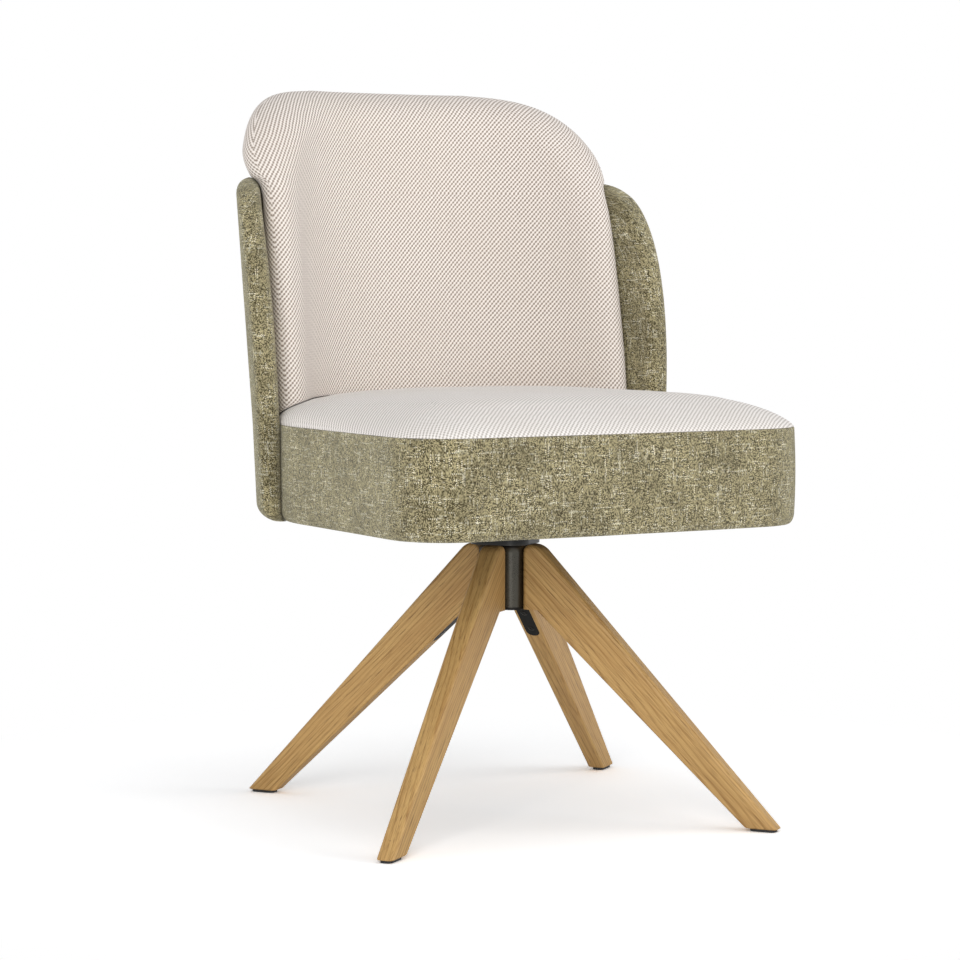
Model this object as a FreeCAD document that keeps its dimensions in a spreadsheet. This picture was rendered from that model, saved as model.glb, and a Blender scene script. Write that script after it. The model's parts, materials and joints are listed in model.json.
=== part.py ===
"""Upholstered dining chair that swivels on a base of four splayed oak legs.

Frame: millimetres, +Z up, the floor at Z = 0. The sitter faces -Y, and +X is on the right of
someone who looks at the chair from the front. Every piece is drawn about the swivel axis. At the
end all of them move back by one step, so that the origin is the middle of the chair's footprint.
"""
import FreeCAD, Part
import Sketcher
import math
import os

Vec = FreeCAD.Vector
UP = Vec(0, 0, 1)
ORIGIN = Vec(0, 0, 0)

doc = FreeCAD.newDocument("swivel_chair")

# Driving sizes, in millimetres and degrees

SIZES = [
    # seat, measured from the swivel axis and the floor
    ("seat_half_width", 244.0),
    ("seat_front", 254.0),
    ("front_bow", 6.0),
    ("front_corner_round", 68.0),
    ("seat_underside", 328.5),
    ("seam_level", 433.0),
    ("crown_rise", 37.0),
    ("crown_spread", 135.0),
    ("border_thick", 14.0),
    ("border_foot_bevel", 3.0),
    ("dust_cover_thick", 1.0),
    ("board_thick", 15.0),
    ("frame_wide", 20.0),
    ("frame_tall", 60.0),
    # back, a shell that bends round the rear half of the seat
    ("bend_centre_out", 30.0),
    ("bend_centre_back", 24.0),
    ("back_lean", 6.6),
    ("back_flare", 1.0),
    ("shell_thick", 24.3),
    ("shell_foot_thick", 19.5),
    ("shell_foot_round", 17.0),
    ("shell_top_round", 10.0),
    ("shell_end_round", 7.0),
    ("lining_thick", 3.0),
    ("ply_thick", 12.0),
    ("ply_margin", 12.0),
    ("shell_top", 704.0),
    ("wing_front", 69.0),
    ("wing_step", 5.0),
    ("wing_curve_start", 440.0),
    ("wing_sweep", 108.0),
    ("pad_side_thick", 30.0),
    ("pad_rear_extra", 15.0),
    ("pad_top", 808.0),
    ("pad_foot", 452.0),
    ("pad_front", 96.0),
    ("pad_sweep", 189.0),
    ("pad_crest_margin", 5.0),
    ("pad_curve_start", 440.0),
    ("pad_end_round", 11.0),
    ("roll_overhang_low", 11.5),
    ("roll_overhang", 17.5),
    ("roll_widest", 743.0),
    ("roll_round", 38.0),
    ("roll_inner_round", 17.0),
    ("roll_end_round", 25.0),
    ("former_thick", 5.0),
    ("former_cover", 2.0),
    ("former_margin", 16.0),
    # oak legs, in the upright plane that holds each leg
    ("leg_turn", 7.75),
    ("leg_root", 25.0),
    ("leg_top", 300.0),
    ("leg_shoulder", 43.0),
    ("leg_thick", 24.0),
    ("leg_foot_thick", 20.0),
    ("foot_inner", 283.5),
    ("foot_outer", 319.5),
    ("lip_level", 228.0),
    ("lip_reach", 41.0),
    ("shoulder_round", 22.0),
    ("outer_arris_round", 5.0),
    ("inner_arris_round", 2.5),
    ("foot_bevel", 1.2),
    # glides under the feet
    ("glide_thick", 3.0),
    ("glide_long", 29.0),
    ("glide_wide", 14.0),
    ("glide_round", 5.0),
    ("nail_radius", 1.6),
    ("nail_length", 18.0),
    # steel bracket let into the undersides of the legs
    ("bracket_thick", 3.0),
    ("bracket_wide", 16.0),
    ("bracket_reach", 86.0),
    ("dowel_radius", 4.0),
    ("dowel_length", 37.0),
    ("socket_depth", 5.5),
    ("dowel_low", 250.0),
    ("dowel_high", 276.0),
    # hub and bearing
    ("column_round", 12.0),
    ("flare", 9.0),
    ("flare_round", 8.5),
    ("flange_thick", 6.0),
    ("boss_radius", 31.0),
    ("bush_seat_radius", 17.0),
    ("bush_length", 26.0),
    ("column_bore_radius", 14.5),
    ("race_outer_radius", 21.3),
    ("race_inner_radius", 13.2),
    ("race_thick", 3.0),
    ("race_proud", 0.5),
    ("roller_radius", 2.45),
    ("roller_length", 5.6),
    ("roller_circle_radius", 17.3),
    ("cage_thick", 2.8),
    ("cage_margin", 0.4),
    ("spindle_radius", 12.5),
    ("spigot_radius", 10.0),
    ("spindle_inset", 2.0),
    ("ring_inset", 4.0),
    ("ring_groove_depth", 1.3),
    ("ring_wide", 3.3),
    ("ring_thick", 1.5),
    ("washer_thick", 1.8),
    ("washer_radius", 16.0),
    # swivel plate under the seat
    ("plate_side", 150.0),
    ("plate_thick", 5.0),
    ("plate_round", 16.0),
    ("bolt_spread", 56.0),
    ("bolt_radius", 3.0),
    ("bolt_head_radius", 5.5),
    ("bolt_head_thick", 3.0),
    # fixings of the back
    ("back_bolt_radius", 3.0),
    ("back_bolt_head_radius", 6.5),
    ("back_bolt_head_thick", 4.0),
    ("back_bolt_level", 374.0),
    ("bolt_end_margin", 1.5),
    ("pad_screw_radius", 2.0),
    ("pad_screw_head_radius", 4.0),
    ("pad_screw_head_thick", 2.0),
    ("pad_screw_low", 520.0),
    ("pad_screw_high", 640.0),
    # clearances
    ("soft_gap", 0.3),
    ("running_gap", 0.05),
    ("push_gap", 0.1),
    ("end_play", 0.2),
]
LEG_NAMES = ("rear_right_leg", "rear_left_leg", "front_left_leg", "front_right_leg")
ROLLER_COUNT = 12
QUARTER_TURNS = (0, 90, 180, 270)

# How far a cutting tool passes the face that it opens, and how close counts as the same place
OVERCUT = 1.0
SAME_PLACE = 1e-6

sizes = doc.addObject("Spreadsheet::Sheet", "Sizes")
for row, (alias, value) in enumerate(SIZES, start=1):
    sizes.set("A%d" % row, alias)
    sizes.set("B%d" % row, str(value))
    sizes.setAlias("B%d" % row, alias)
doc.recompute()


class Named:
    """The sheet's values as plain numbers, for the pieces that are lofted in code."""

    def __getattr__(self, alias):
        return float(sizes.get(alias))


size = Named()
nodes = []


def keep(item, name):
    """Give a finished piece its name and put it on the list of nodes."""
    item.Label = name
    nodes.append(item)
    return item


# Helpers for sketches and solid features

def new_body(name):
    return doc.addObject("PartDesign::Body", name + "_body")


def new_sketch(body, role, name, lift=None):
    """A sketch on one of the body's own planes, moved along the plane's normal by lift."""
    plane = next(item for item in body.Origin.OriginFeatures if item.Role == role)
    sketch = body.newObject("Sketcher::SketchObject", name)
    sketch.AttachmentSupport = [(plane, "")]
    sketch.MapMode = "FlatFace"
    if lift:
        sketch.setExpression("AttachmentOffset.Base.z", lift)
    return sketch


def pin_point(sketch, geometry, corner, across, along):
    """Tie one point of the sketch to the sheet by its two distances from the origin."""
    here = sketch.getPoint(geometry, corner)
    for kind, start, wanted in (("DistanceX", here.x, across), ("DistanceY", here.y, along)):
        index = sketch.addConstraint(Sketcher.Constraint(kind, -1, 1, geometry, corner, start))
        sketch.setExpression("Constraints[%d]" % index, wanted)


def add_polygon(sketch, corners):
    """A closed outline of straight lines whose corners are given as pairs of expressions."""
    first = sketch.GeometryCount
    count = len(corners)
    seeds = []
    for index in range(count):
        angle = 2 * math.pi * index / count
        seeds.append(Vec(math.cos(angle), math.sin(angle), 0))
    for index in range(count):
        sketch.addGeometry(Part.LineSegment(seeds[index], seeds[(index + 1) % count]), False)
    for index in range(count):
        after = first + (index + 1) % count
        sketch.addConstraint(Sketcher.Constraint("Coincident", first + index, 2, after, 1))
    for index, (across, along) in enumerate(corners):
        pin_point(sketch, first + index, 1, across, along)


def add_square(sketch, half):
    """A square about the sketch's origin."""
    add_polygon(sketch, [("-" + half, "-" + half), (half, "-" + half), (half, half), ("-" + half, half)])


def add_circle(sketch, radius, across="0", along="0"):
    index = sketch.addGeometry(Part.Circle(ORIGIN, UP, 5.0), False)
    pin_point(sketch, index, 3, across, along)
    rule = sketch.addConstraint(Sketcher.Constraint("Radius", index, 5.0))
    sketch.setExpression("Constraints[%d]" % rule, radius)


def pad(body, sketch, length, name, midplane=False, downward=False):
    feature = body.newObject("PartDesign::Pad", name)
    feature.Profile = sketch
    feature.setExpression("Length", length)
    feature.Midplane = midplane
    feature.Reversed = downward
    doc.recompute()
    return feature


def pocket(body, sketch, name, length=None, midplane=False, upward=False):
    """Cut a sketch out of the body, through everything where no length is given."""
    before = body.Shape.Volume
    feature = body.newObject("PartDesign::Pocket", name)
    feature.Profile = sketch
    if length:
        feature.setExpression("Length", length)
    else:
        feature.Type = "ThroughAll"
    feature.Midplane = midplane
    feature.Reversed = upward
    doc.recompute()
    if not feature.Shape.Volume < before:
        raise RuntimeError(name + " cuts nothing")
    return feature


def revolve(body, sketch, name):
    """Turn a half section in the XZ plane once round the Z axis."""
    feature = body.newObject("PartDesign::Revolution", name)
    feature.Profile = sketch
    feature.ReferenceAxis = (sketch, ["V_Axis"])
    feature.Angle = 360.0
    doc.recompute()
    return feature


def edges_where(shape, test):
    """The names of a shape's edges that pass a test."""
    return ["Edge%d" % (index + 1) for index, edge in enumerate(shape.Edges) if test(edge)]


def middle(edge):
    return edge.valueAt((edge.FirstParameter + edge.LastParameter) / 2)


def runs_along(edge, axis):
    """True for a straight edge that is parallel to an axis."""
    if edge.Curve.TypeId != "Part::GeomLine":
        return False
    return edge.Curve.Direction.cross(axis).Length < SAME_PLACE


def dress(body, kind, base, edges, property_name, value, name):
    """Round or bevel named edges of the last feature."""
    feature = body.newObject("PartDesign::" + kind, name)
    feature.Base = (base, edges)
    feature.setExpression(property_name, value)
    doc.recompute()
    return feature


def fillet(body, base, edges, radius, name):
    return dress(body, "Fillet", base, edges, "Radius", radius, name)


def chamfer(body, base, edges, width, name):
    return dress(body, "Chamfer", base, edges, "Size", width, name)


# Helpers for primitives, booleans and copies

def cylinder(name, radius, height, base, direction=UP):
    """A round bar from a base point along a direction, its sizes bound to the sheet."""
    item = doc.addObject("Part::Cylinder", name)
    item.setExpression("Radius", radius)
    item.setExpression("Height", height)
    item.Placement = FreeCAD.Placement(base, FreeCAD.Rotation(UP, direction))
    return item


def cone(name, near_radius, far_radius, height, base, direction=UP):
    item = doc.addObject("Part::Cone", name)
    item.setExpression("Radius1", near_radius)
    item.setExpression("Radius2", far_radius)
    item.setExpression("Height", height)
    item.Placement = FreeCAD.Placement(base, FreeCAD.Rotation(UP, direction))
    return item


def fuse(name, items):
    item = doc.addObject("Part::MultiFuse", name)
    item.Shapes = items
    doc.recompute()
    return item


def bundle(name, items):
    """Several separate solids under one name."""
    item = doc.addObject("Part::Compound", name)
    item.Links = items
    doc.recompute()
    return item


def cut(name, base, tool):
    item = doc.addObject("Part::Cut", name)
    item.Base = base
    item.Tool = tool
    doc.recompute()
    return item


def from_shape(name, shape):
    """A piece whose shape is made by the functions below from the sheet's values."""
    item = doc.addObject("Part::Feature", name)
    item.Shape = shape
    return item


def turned(shape, angle):
    """A copy of a shape turned about the swivel axis."""
    copy = shape.copy()
    copy.rotate(ORIGIN, UP, angle)
    return copy


def tangent(angle):
    return math.tan(math.radians(angle))


# Levels that follow from the sizes

plate_bottom = size.seat_underside - size.plate_thick
upper_race_bottom = plate_bottom - size.race_thick
lower_race_top = upper_race_bottom - 2 * (size.roller_radius + size.running_gap)
race_floor = lower_race_top - size.race_thick
roller_level = (upper_race_bottom + lower_race_top) / 2
boss_top = upper_race_bottom - size.race_proud
column_foot = size.lip_level + size.bracket_thick
board_bottom = size.seat_underside + size.dust_cover_thick
board_top = board_bottom + size.board_thick
frame_top = board_top + size.frame_tall
bend_radius = size.seat_half_width - size.bend_centre_out
shell_inner_radius = bend_radius + size.soft_gap
base_turn = 45 - size.leg_turn
leg_angles = [base_turn + quarter for quarter in QUARTER_TURNS]
COLUMN_FOOT = "Sizes.lip_level + Sizes.bracket_thick"
PLATE_BOTTOM = "Sizes.seat_underside - Sizes.plate_thick"
UPPER_RACE_BOTTOM = PLATE_BOTTOM + " - Sizes.race_thick"
LOWER_RACE_TOP = UPPER_RACE_BOTTOM + " - 2 * (Sizes.roller_radius + Sizes.running_gap)"
RACE_FLOOR = LOWER_RACE_TOP + " - Sizes.race_thick"
BOSS_TOP = UPPER_RACE_BOTTOM + " - Sizes.race_proud"
SPINDLE_FOOT = COLUMN_FOOT + " + Sizes.spindle_inset"
RING_FOOT = COLUMN_FOOT + " + Sizes.ring_inset"
RING_TOP = RING_FOOT + " + Sizes.ring_thick"
WASHER_FOOT = RING_TOP + " + Sizes.running_gap"
WASHER_TOP = WASHER_FOOT + " + Sizes.washer_thick"
LOWER_BUSH_FOOT = WASHER_TOP + " + Sizes.end_play"
LOWER_BUSH_TOP = LOWER_BUSH_FOOT + " + Sizes.bush_length"
CAGE_FOOT = "(" + LOWER_RACE_TOP + " + " + UPPER_RACE_BOTTOM + ") / 2 - Sizes.cage_thick / 2"


DIAGONAL = math.sqrt(0.5)


def heading(angle):
    """The level direction that points away from the swivel axis at an angle."""
    return Vec(math.cos(math.radians(angle)), math.sin(math.radians(angle)), 0)


# The underside of a leg is a slope from the lip near the hub down to the foot

slope_run = size.foot_inner - size.lip_reach
slope_fall = size.lip_level - size.glide_thick
slope_angle = math.atan2(slope_fall, slope_run)
slope_down = Vec(math.cos(slope_angle), 0, -math.sin(slope_angle))
slope_inward = Vec(math.sin(slope_angle), 0, math.cos(slope_angle))
lip_corner = Vec(size.lip_reach, 0, size.lip_level)
foot_middle = (size.foot_inner + size.foot_outer) / 2
dowel_levels = (size.dowel_low, size.dowel_high)


def on_slope(reach, depth=0.0):
    """The point of the leg's underside at a distance from the axis, or that deep in the wood."""
    along = (reach - size.lip_reach) / slope_down.x
    return lip_corner + slope_down * along + slope_inward * depth


# Base: oak legs

def bracket_tongue(extra):
    """One tongue of the bracket: flat under the hub, then bent down along the leg.

    With extra above zero it is the recess that takes the tongue, that much larger.
    """
    thick = size.bracket_thick + extra
    half_wide = size.bracket_wide / 2 + extra
    bend_out = lip_corner + slope_inward * thick
    bend_reach = bend_out.x + (bend_out.z - size.lip_level - thick) / tangent(math.degrees(slope_angle))
    tip_low = on_slope(size.bracket_reach + extra)
    corners = [
        Vec(size.leg_root - size.column_round, 0, size.lip_level),
        lip_corner,
        tip_low,
        tip_low + slope_inward * thick,
        Vec(bend_reach, 0, size.lip_level + thick),
        Vec(size.leg_root - size.column_round, 0, size.lip_level + thick),
    ]
    side = Part.Face(Part.makePolygon(corners + corners[:1]))
    side.translate(Vec(0, -half_wide, 0))
    tongue = side.extrude(Vec(0, 2 * half_wide, 0))
    tip_edges = [
        edge for edge in tongue.Edges
        if runs_along(edge, slope_inward) and middle(edge).x > size.lip_reach + size.bracket_wide
    ]
    return tongue.makeFillet(half_wide - size.push_gap, tip_edges)


def leg_cutter():
    """Everything that is let into a leg: the bracket's tongue, the dowels and the glide's nail."""
    holes = [bracket_tongue(size.push_gap)]
    for level in dowel_levels:
        start = Vec(size.leg_root - OVERCUT, 0, level)
        depth = size.dowel_length - size.socket_depth + size.push_gap
        holes.append(Part.makeCylinder(size.dowel_radius + size.push_gap, depth + OVERCUT, start,
                                       Vec(1, 0, 0)))
    nail_place = Vec(foot_middle, 0, size.glide_thick)
    holes.append(Part.makeCylinder(size.nail_radius + size.push_gap, size.nail_length, nail_place, UP))
    return Part.makeCompound(holes)


def make_leg(name, angle):
    """A tapered oak leg, sawn from a side outline and thinned towards its foot."""
    body = new_body(name)
    side = new_sketch(body, "XZ_Plane", name + "_side")
    add_polygon(side, [
        ("Sizes.leg_root", "Sizes.lip_level"),
        ("Sizes.lip_reach", "Sizes.lip_level"),
        ("Sizes.foot_inner", "Sizes.glide_thick"),
        ("Sizes.foot_outer", "Sizes.glide_thick"),
        ("Sizes.leg_shoulder", "Sizes.leg_top"),
        ("Sizes.leg_root", "Sizes.leg_top"),
    ])
    blank = pad(body, side, "Sizes.leg_thick", name + "_blank", midplane=True)
    taper = new_sketch(body, "XY_Plane", name + "_taper")
    for sign in ("", "-"):
        add_polygon(taper, [
            ("Sizes.leg_root", sign + "Sizes.leg_thick / 2"),
            ("Sizes.foot_outer + Sizes.leg_thick", sign + "Sizes.leg_thick"),
            ("Sizes.foot_outer", sign + "Sizes.leg_foot_thick / 2"),
        ])
    tapered = pocket(body, taper, name + "_thinned", midplane=True)
    across = Vec(0, 1, 0)

    def top_edge(edge, reach):
        point = middle(edge)
        return runs_along(edge, across) and (point - Vec(reach, 0, size.leg_top)).Length < SAME_PLACE

    shoulder = edges_where(tapered.Shape, lambda edge: top_edge(edge, size.leg_shoulder))
    rounded = fillet(body, tapered, shoulder, "Sizes.shoulder_round", name + "_shoulder")
    root = edges_where(rounded.Shape, lambda edge: top_edge(edge, size.leg_root))
    rooted = fillet(body, rounded, root, "Sizes.flare_round + Sizes.soft_gap", name + "_root")
    half_reach = (size.foot_inner + size.leg_root) / 2

    def long_edge(edge, outer):
        point = middle(edge)
        above = point.z > on_slope(point.x).z + size.bracket_thick
        return edge.Length > half_reach and above == outer

    outer_edges = edges_where(rooted.Shape, lambda edge: long_edge(edge, True))
    softened = fillet(body, rooted, outer_edges, "Sizes.outer_arris_round", name + "_outer_arris")
    inner_edges = edges_where(softened.Shape, lambda edge: long_edge(edge, False))
    eased = fillet(body, softened, inner_edges, "Sizes.inner_arris_round", name + "_inner_arris")
    sole = edges_where(eased.Shape, lambda edge: abs(middle(edge).z - size.glide_thick) < SAME_PLACE)
    chamfer(body, eased, sole, "Sizes.foot_bevel", name + "_foot_bevel")
    body.Placement = FreeCAD.Placement(ORIGIN, FreeCAD.Rotation(UP, angle))
    cutter = from_shape(name + "_cutter", turned(leg_cutter(), angle))
    return keep(cut(name, body, cutter), name)


for leg_name, leg_angle in zip(LEG_NAMES, leg_angles):
    make_leg(leg_name, leg_angle)


# Base: glides

def make_glide(name, angle):
    """A plastic glide with rounded corners and a moulded-in nail that goes into the foot."""
    body = new_body(name)
    plan = new_sketch(body, "XY_Plane", name + "_plan")
    middle_reach = "(Sizes.foot_inner + Sizes.foot_outer) / 2"
    add_polygon(plan, [
        (middle_reach + " - Sizes.glide_long / 2", "-Sizes.glide_wide / 2"),
        (middle_reach + " + Sizes.glide_long / 2", "-Sizes.glide_wide / 2"),
        (middle_reach + " + Sizes.glide_long / 2", "Sizes.glide_wide / 2"),
        (middle_reach + " - Sizes.glide_long / 2", "Sizes.glide_wide / 2"),
    ])
    blank = pad(body, plan, "Sizes.glide_thick", name + "_blank")
    corners = edges_where(blank.Shape, lambda edge: runs_along(edge, UP))
    fillet(body, blank, corners, "Sizes.glide_round", name + "_corners")
    nail = new_sketch(body, "XY_Plane", name + "_nail", "Sizes.glide_thick")
    add_circle(nail, "Sizes.nail_radius", middle_reach)
    pad(body, nail, "Sizes.nail_length - Sizes.push_gap", name + "_nail_shank")
    body.Placement = FreeCAD.Placement(ORIGIN, FreeCAD.Rotation(UP, angle))
    doc.recompute()
    return keep(body, name)


for leg_name, leg_angle in zip(LEG_NAMES, leg_angles):
    make_glide(leg_name.replace("_leg", "_glide"), leg_angle)

# Base: bracket and dowels

def make_bracket():
    """A pressed steel cross: a flat middle under the hub and four tongues bent down."""
    column_half = size.leg_root
    centre = Part.makeBox(2 * column_half, 2 * column_half, size.bracket_thick,
                          Vec(-column_half, -column_half, size.lip_level))
    upright = [edge for edge in centre.Edges if runs_along(edge, UP)]
    shape = centre.makeFillet(size.column_round, upright)
    for angle in QUARTER_TURNS:
        shape = shape.fuse(turned(bracket_tongue(0.0), angle))
    opening = Part.makeCylinder(size.bush_seat_radius, size.bracket_thick, Vec(0, 0, size.lip_level), UP)
    shape = shape.removeSplitter().cut(opening)
    return turned(shape, base_turn)


keep(from_shape("leg_bracket", make_bracket()), "leg_bracket")

dowels = []
for number, leg_angle in enumerate(leg_angles):
    outward = heading(leg_angle)
    for place, level in enumerate(dowel_levels):
        start = outward * (size.leg_root - size.socket_depth) + UP * level
        dowels.append(cylinder("dowel_%d_%d" % (number, place), "Sizes.dowel_radius",
                               "Sizes.dowel_length", start, outward))
keep(bundle("leg_dowels", dowels), "leg_dowels")


# Base: hub column with its flared head, bored for the swivel

def make_column():
    body = new_body("hub_column")
    plan = new_sketch(body, "XY_Plane", "column_plan", COLUMN_FOOT)
    half = "Sizes.leg_root"
    add_square(plan, half)
    shaft = pad(body, plan, "Sizes.leg_top - (" + COLUMN_FOOT + ")", "column_shaft")
    upright = edges_where(shaft.Shape, lambda edge: runs_along(edge, UP))
    shaft_round = fillet(body, shaft, upright, "Sizes.column_round", "column_corners")
    flange_plan = new_sketch(body, "XY_Plane", "flange_plan", "Sizes.leg_top")
    wide = "(Sizes.leg_root + Sizes.flare)"
    add_square(flange_plan, wide)
    flange = pad(body, flange_plan, "Sizes.flange_thick", "flange")
    flange_edges = edges_where(flange.Shape, lambda edge: runs_along(edge, UP)
                               and middle(edge).z > size.leg_top)
    flange_round = fillet(body, flange, flange_edges, "Sizes.column_round + Sizes.flare", "flange_corners")
    rim = [middle(edge) for edge in shaft_round.Shape.Edges]
    rim = [point for point in rim if abs(point.z - size.leg_top) < SAME_PLACE]

    def neck_edge(edge):
        return any((middle(edge) - point).Length < SAME_PLACE for point in rim)

    neck = edges_where(flange_round.Shape, neck_edge)
    fillet(body, flange_round, neck, "Sizes.flare_round", "flare")
    boss_plan = new_sketch(body, "XY_Plane", "boss_plan", "Sizes.leg_top + Sizes.flange_thick")
    add_circle(boss_plan, "Sizes.boss_radius")
    pad(body, boss_plan, BOSS_TOP + " - Sizes.leg_top - Sizes.flange_thick", "boss")
    bore = new_sketch(body, "XY_Plane", "bore", COLUMN_FOOT)
    add_circle(bore, "Sizes.column_bore_radius")
    pocket(body, bore, "through_bore", upward=True)
    lower = new_sketch(body, "XY_Plane", "lower_seat", COLUMN_FOOT)
    add_circle(lower, "Sizes.bush_seat_radius")
    pocket(body, lower, "lower_bush_seat", length=LOWER_BUSH_TOP + " - (" + COLUMN_FOOT + ")", upward=True)
    upper = new_sketch(body, "XY_Plane", "upper_seat", RACE_FLOOR)
    add_circle(upper, "Sizes.bush_seat_radius")
    pocket(body, upper, "upper_bush_seat", length="Sizes.bush_length")
    race = new_sketch(body, "XY_Plane", "race_seat", BOSS_TOP)
    add_circle(race, "Sizes.race_outer_radius + Sizes.push_gap")
    pocket(body, race, "race_pocket", length=BOSS_TOP + " - (" + RACE_FLOOR + ")")
    body.Placement = FreeCAD.Placement(ORIGIN, FreeCAD.Rotation(UP, base_turn))
    sockets = []
    depth = size.socket_depth + size.push_gap
    for angle in leg_angles:
        outward = heading(angle)
        for level in dowel_levels:
            start = outward * (size.leg_root - depth) + UP * level
            sockets.append(Part.makeCylinder(size.dowel_radius + size.push_gap, depth + OVERCUT, start,
                                             outward))
    cutter = from_shape("dowel_sockets", Part.makeCompound(sockets))
    return keep(cut("hub_column", body, cutter), "hub_column")


make_column()


def make_ring(name, inner, outer, low, high):
    """A plain turned ring, drawn as a half section."""
    body = new_body(name)
    section = new_sketch(body, "XZ_Plane", name + "_section")
    add_polygon(section, [(inner, low), (outer, low), (outer, high), (inner, high)])
    revolve(body, section, name + "_turned")
    return keep(body, name)


SPINDLE_BORE = "Sizes.spindle_radius + Sizes.running_gap"
BUSH_OUTSIDE = "Sizes.bush_seat_radius - Sizes.running_gap"
make_ring("lower_bush", SPINDLE_BORE, BUSH_OUTSIDE, LOWER_BUSH_FOOT, LOWER_BUSH_TOP)
make_ring("upper_bush", SPINDLE_BORE, BUSH_OUTSIDE, RACE_FLOOR + " - Sizes.bush_length", RACE_FLOOR)
make_ring("lower_race", "Sizes.race_inner_radius", "Sizes.race_outer_radius", RACE_FLOOR, LOWER_RACE_TOP)


# Thrust bearing: the cage and its rollers turn at half the speed of the seat

def make_cage():
    body = new_body("roller_cage")
    plan = new_sketch(body, "XY_Plane", "cage_plan", CAGE_FOOT)
    add_circle(plan, "Sizes.race_outer_radius - Sizes.cage_margin")
    add_circle(plan, "Sizes.race_inner_radius + Sizes.cage_margin")
    ring = pad(body, plan, "Sizes.cage_thick", "cage_ring")
    hole = new_sketch(body, "XY_Plane", "cage_hole", CAGE_FOOT)
    near = "(Sizes.roller_circle_radius - Sizes.roller_length / 2 - Sizes.push_gap)"
    far = "(Sizes.roller_circle_radius + Sizes.roller_length / 2 + Sizes.push_gap)"
    half = "(Sizes.roller_radius + Sizes.push_gap)"
    add_polygon(hole, [(near, "-" + half), (far, "-" + half), (far, half), (near, half)])
    window = pocket(body, hole, "cage_window", upward=True)
    windows = body.newObject("PartDesign::PolarPattern", "cage_windows")
    windows.Originals = [window]
    windows.Axis = (hole, ["N_Axis"])
    windows.Angle = 360.0
    windows.Occurrences = ROLLER_COUNT
    body.Tip = windows
    doc.recompute()
    if not windows.Shape.Volume < window.Shape.Volume < ring.Shape.Volume:
        raise RuntimeError("the cage has too few windows")
    return keep(body, "roller_cage")


make_cage()

rollers = []
for number in range(ROLLER_COUNT):
    outward = heading(360 * number / ROLLER_COUNT)
    start = outward * (size.roller_circle_radius - size.roller_length / 2) + UP * roller_level
    rollers.append(cylinder("roller_%d" % number, "Sizes.roller_radius", "Sizes.roller_length",
                            start, outward))
keep(bundle("bearing_rollers", rollers), "bearing_rollers")

make_ring("upper_race", "Sizes.race_inner_radius", "Sizes.race_outer_radius", UPPER_RACE_BOTTOM,
          PLATE_BOTTOM)


# Seat side of the swivel

def make_spindle():
    """A steel spindle with a spigot for the plate and a groove for the snap ring."""
    body = new_body("spindle")
    section = new_sketch(body, "XZ_Plane", "spindle_section")
    groove = "Sizes.spindle_radius - Sizes.ring_groove_depth"
    add_polygon(section, [
        ("0", SPINDLE_FOOT),
        ("Sizes.spindle_radius", SPINDLE_FOOT),
        ("Sizes.spindle_radius", RING_FOOT + " - Sizes.running_gap"),
        (groove, RING_FOOT + " - Sizes.running_gap"),
        (groove, RING_TOP + " + Sizes.running_gap"),
        ("Sizes.spindle_radius", RING_TOP + " + Sizes.running_gap"),
        ("Sizes.spindle_radius", PLATE_BOTTOM),
        ("Sizes.spigot_radius", PLATE_BOTTOM),
        ("Sizes.spigot_radius", "Sizes.seat_underside"),
        ("0", "Sizes.seat_underside"),
    ])
    revolve(body, section, "spindle_turned")
    return keep(body, "spindle")


make_spindle()
RING_INSIDE = "Sizes.spindle_radius - Sizes.ring_groove_depth + Sizes.running_gap"
make_ring("snap_ring", RING_INSIDE, RING_INSIDE + " + Sizes.ring_wide", RING_FOOT, RING_TOP)
make_ring("retaining_washer", SPINDLE_BORE, "Sizes.washer_radius", WASHER_FOOT, WASHER_TOP)


def make_plate():
    body = new_body("swivel_plate")
    plan = new_sketch(body, "XY_Plane", "plate_plan", PLATE_BOTTOM)
    half = "Sizes.plate_side / 2"
    add_square(plan, half)
    blank = pad(body, plan, "Sizes.plate_thick", "plate_blank")
    upright = edges_where(blank.Shape, lambda edge: runs_along(edge, UP))
    fillet(body, blank, upright, "Sizes.plate_round", "plate_corners")
    holes = new_sketch(body, "XY_Plane", "plate_holes", PLATE_BOTTOM)
    add_circle(holes, "Sizes.spigot_radius + Sizes.running_gap")
    for across in ("-", ""):
        for along in ("-", ""):
            add_circle(holes, "Sizes.bolt_radius + Sizes.push_gap", across + "Sizes.bolt_spread",
                       along + "Sizes.bolt_spread")
    pocket(body, holes, "plate_drilled", upward=True)
    return keep(body, "swivel_plate")


make_plate()

bolt_places = [(across * size.bolt_spread, along * size.bolt_spread)
               for across in (-1, 1) for along in (-1, 1)]
bolts = []
for number, (across, along) in enumerate(bolt_places):
    low = Vec(across, along, plate_bottom)
    head = cylinder("bolt_head_%d" % number, "Sizes.bolt_head_radius", "Sizes.bolt_head_thick",
                    low - UP * size.bolt_head_thick)
    shank = cylinder("bolt_shank_%d" % number, "Sizes.bolt_radius",
                     "Sizes.plate_thick + Sizes.dust_cover_thick + Sizes.board_thick", low)
    bolts.append(fuse("bolt_%d" % number, [head, shank]))
keep(bundle("plate_bolts", bolts), "plate_bolts")


# Seat outline: straight sides, a bowed front with large corners, and a rear that follows the back

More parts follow.
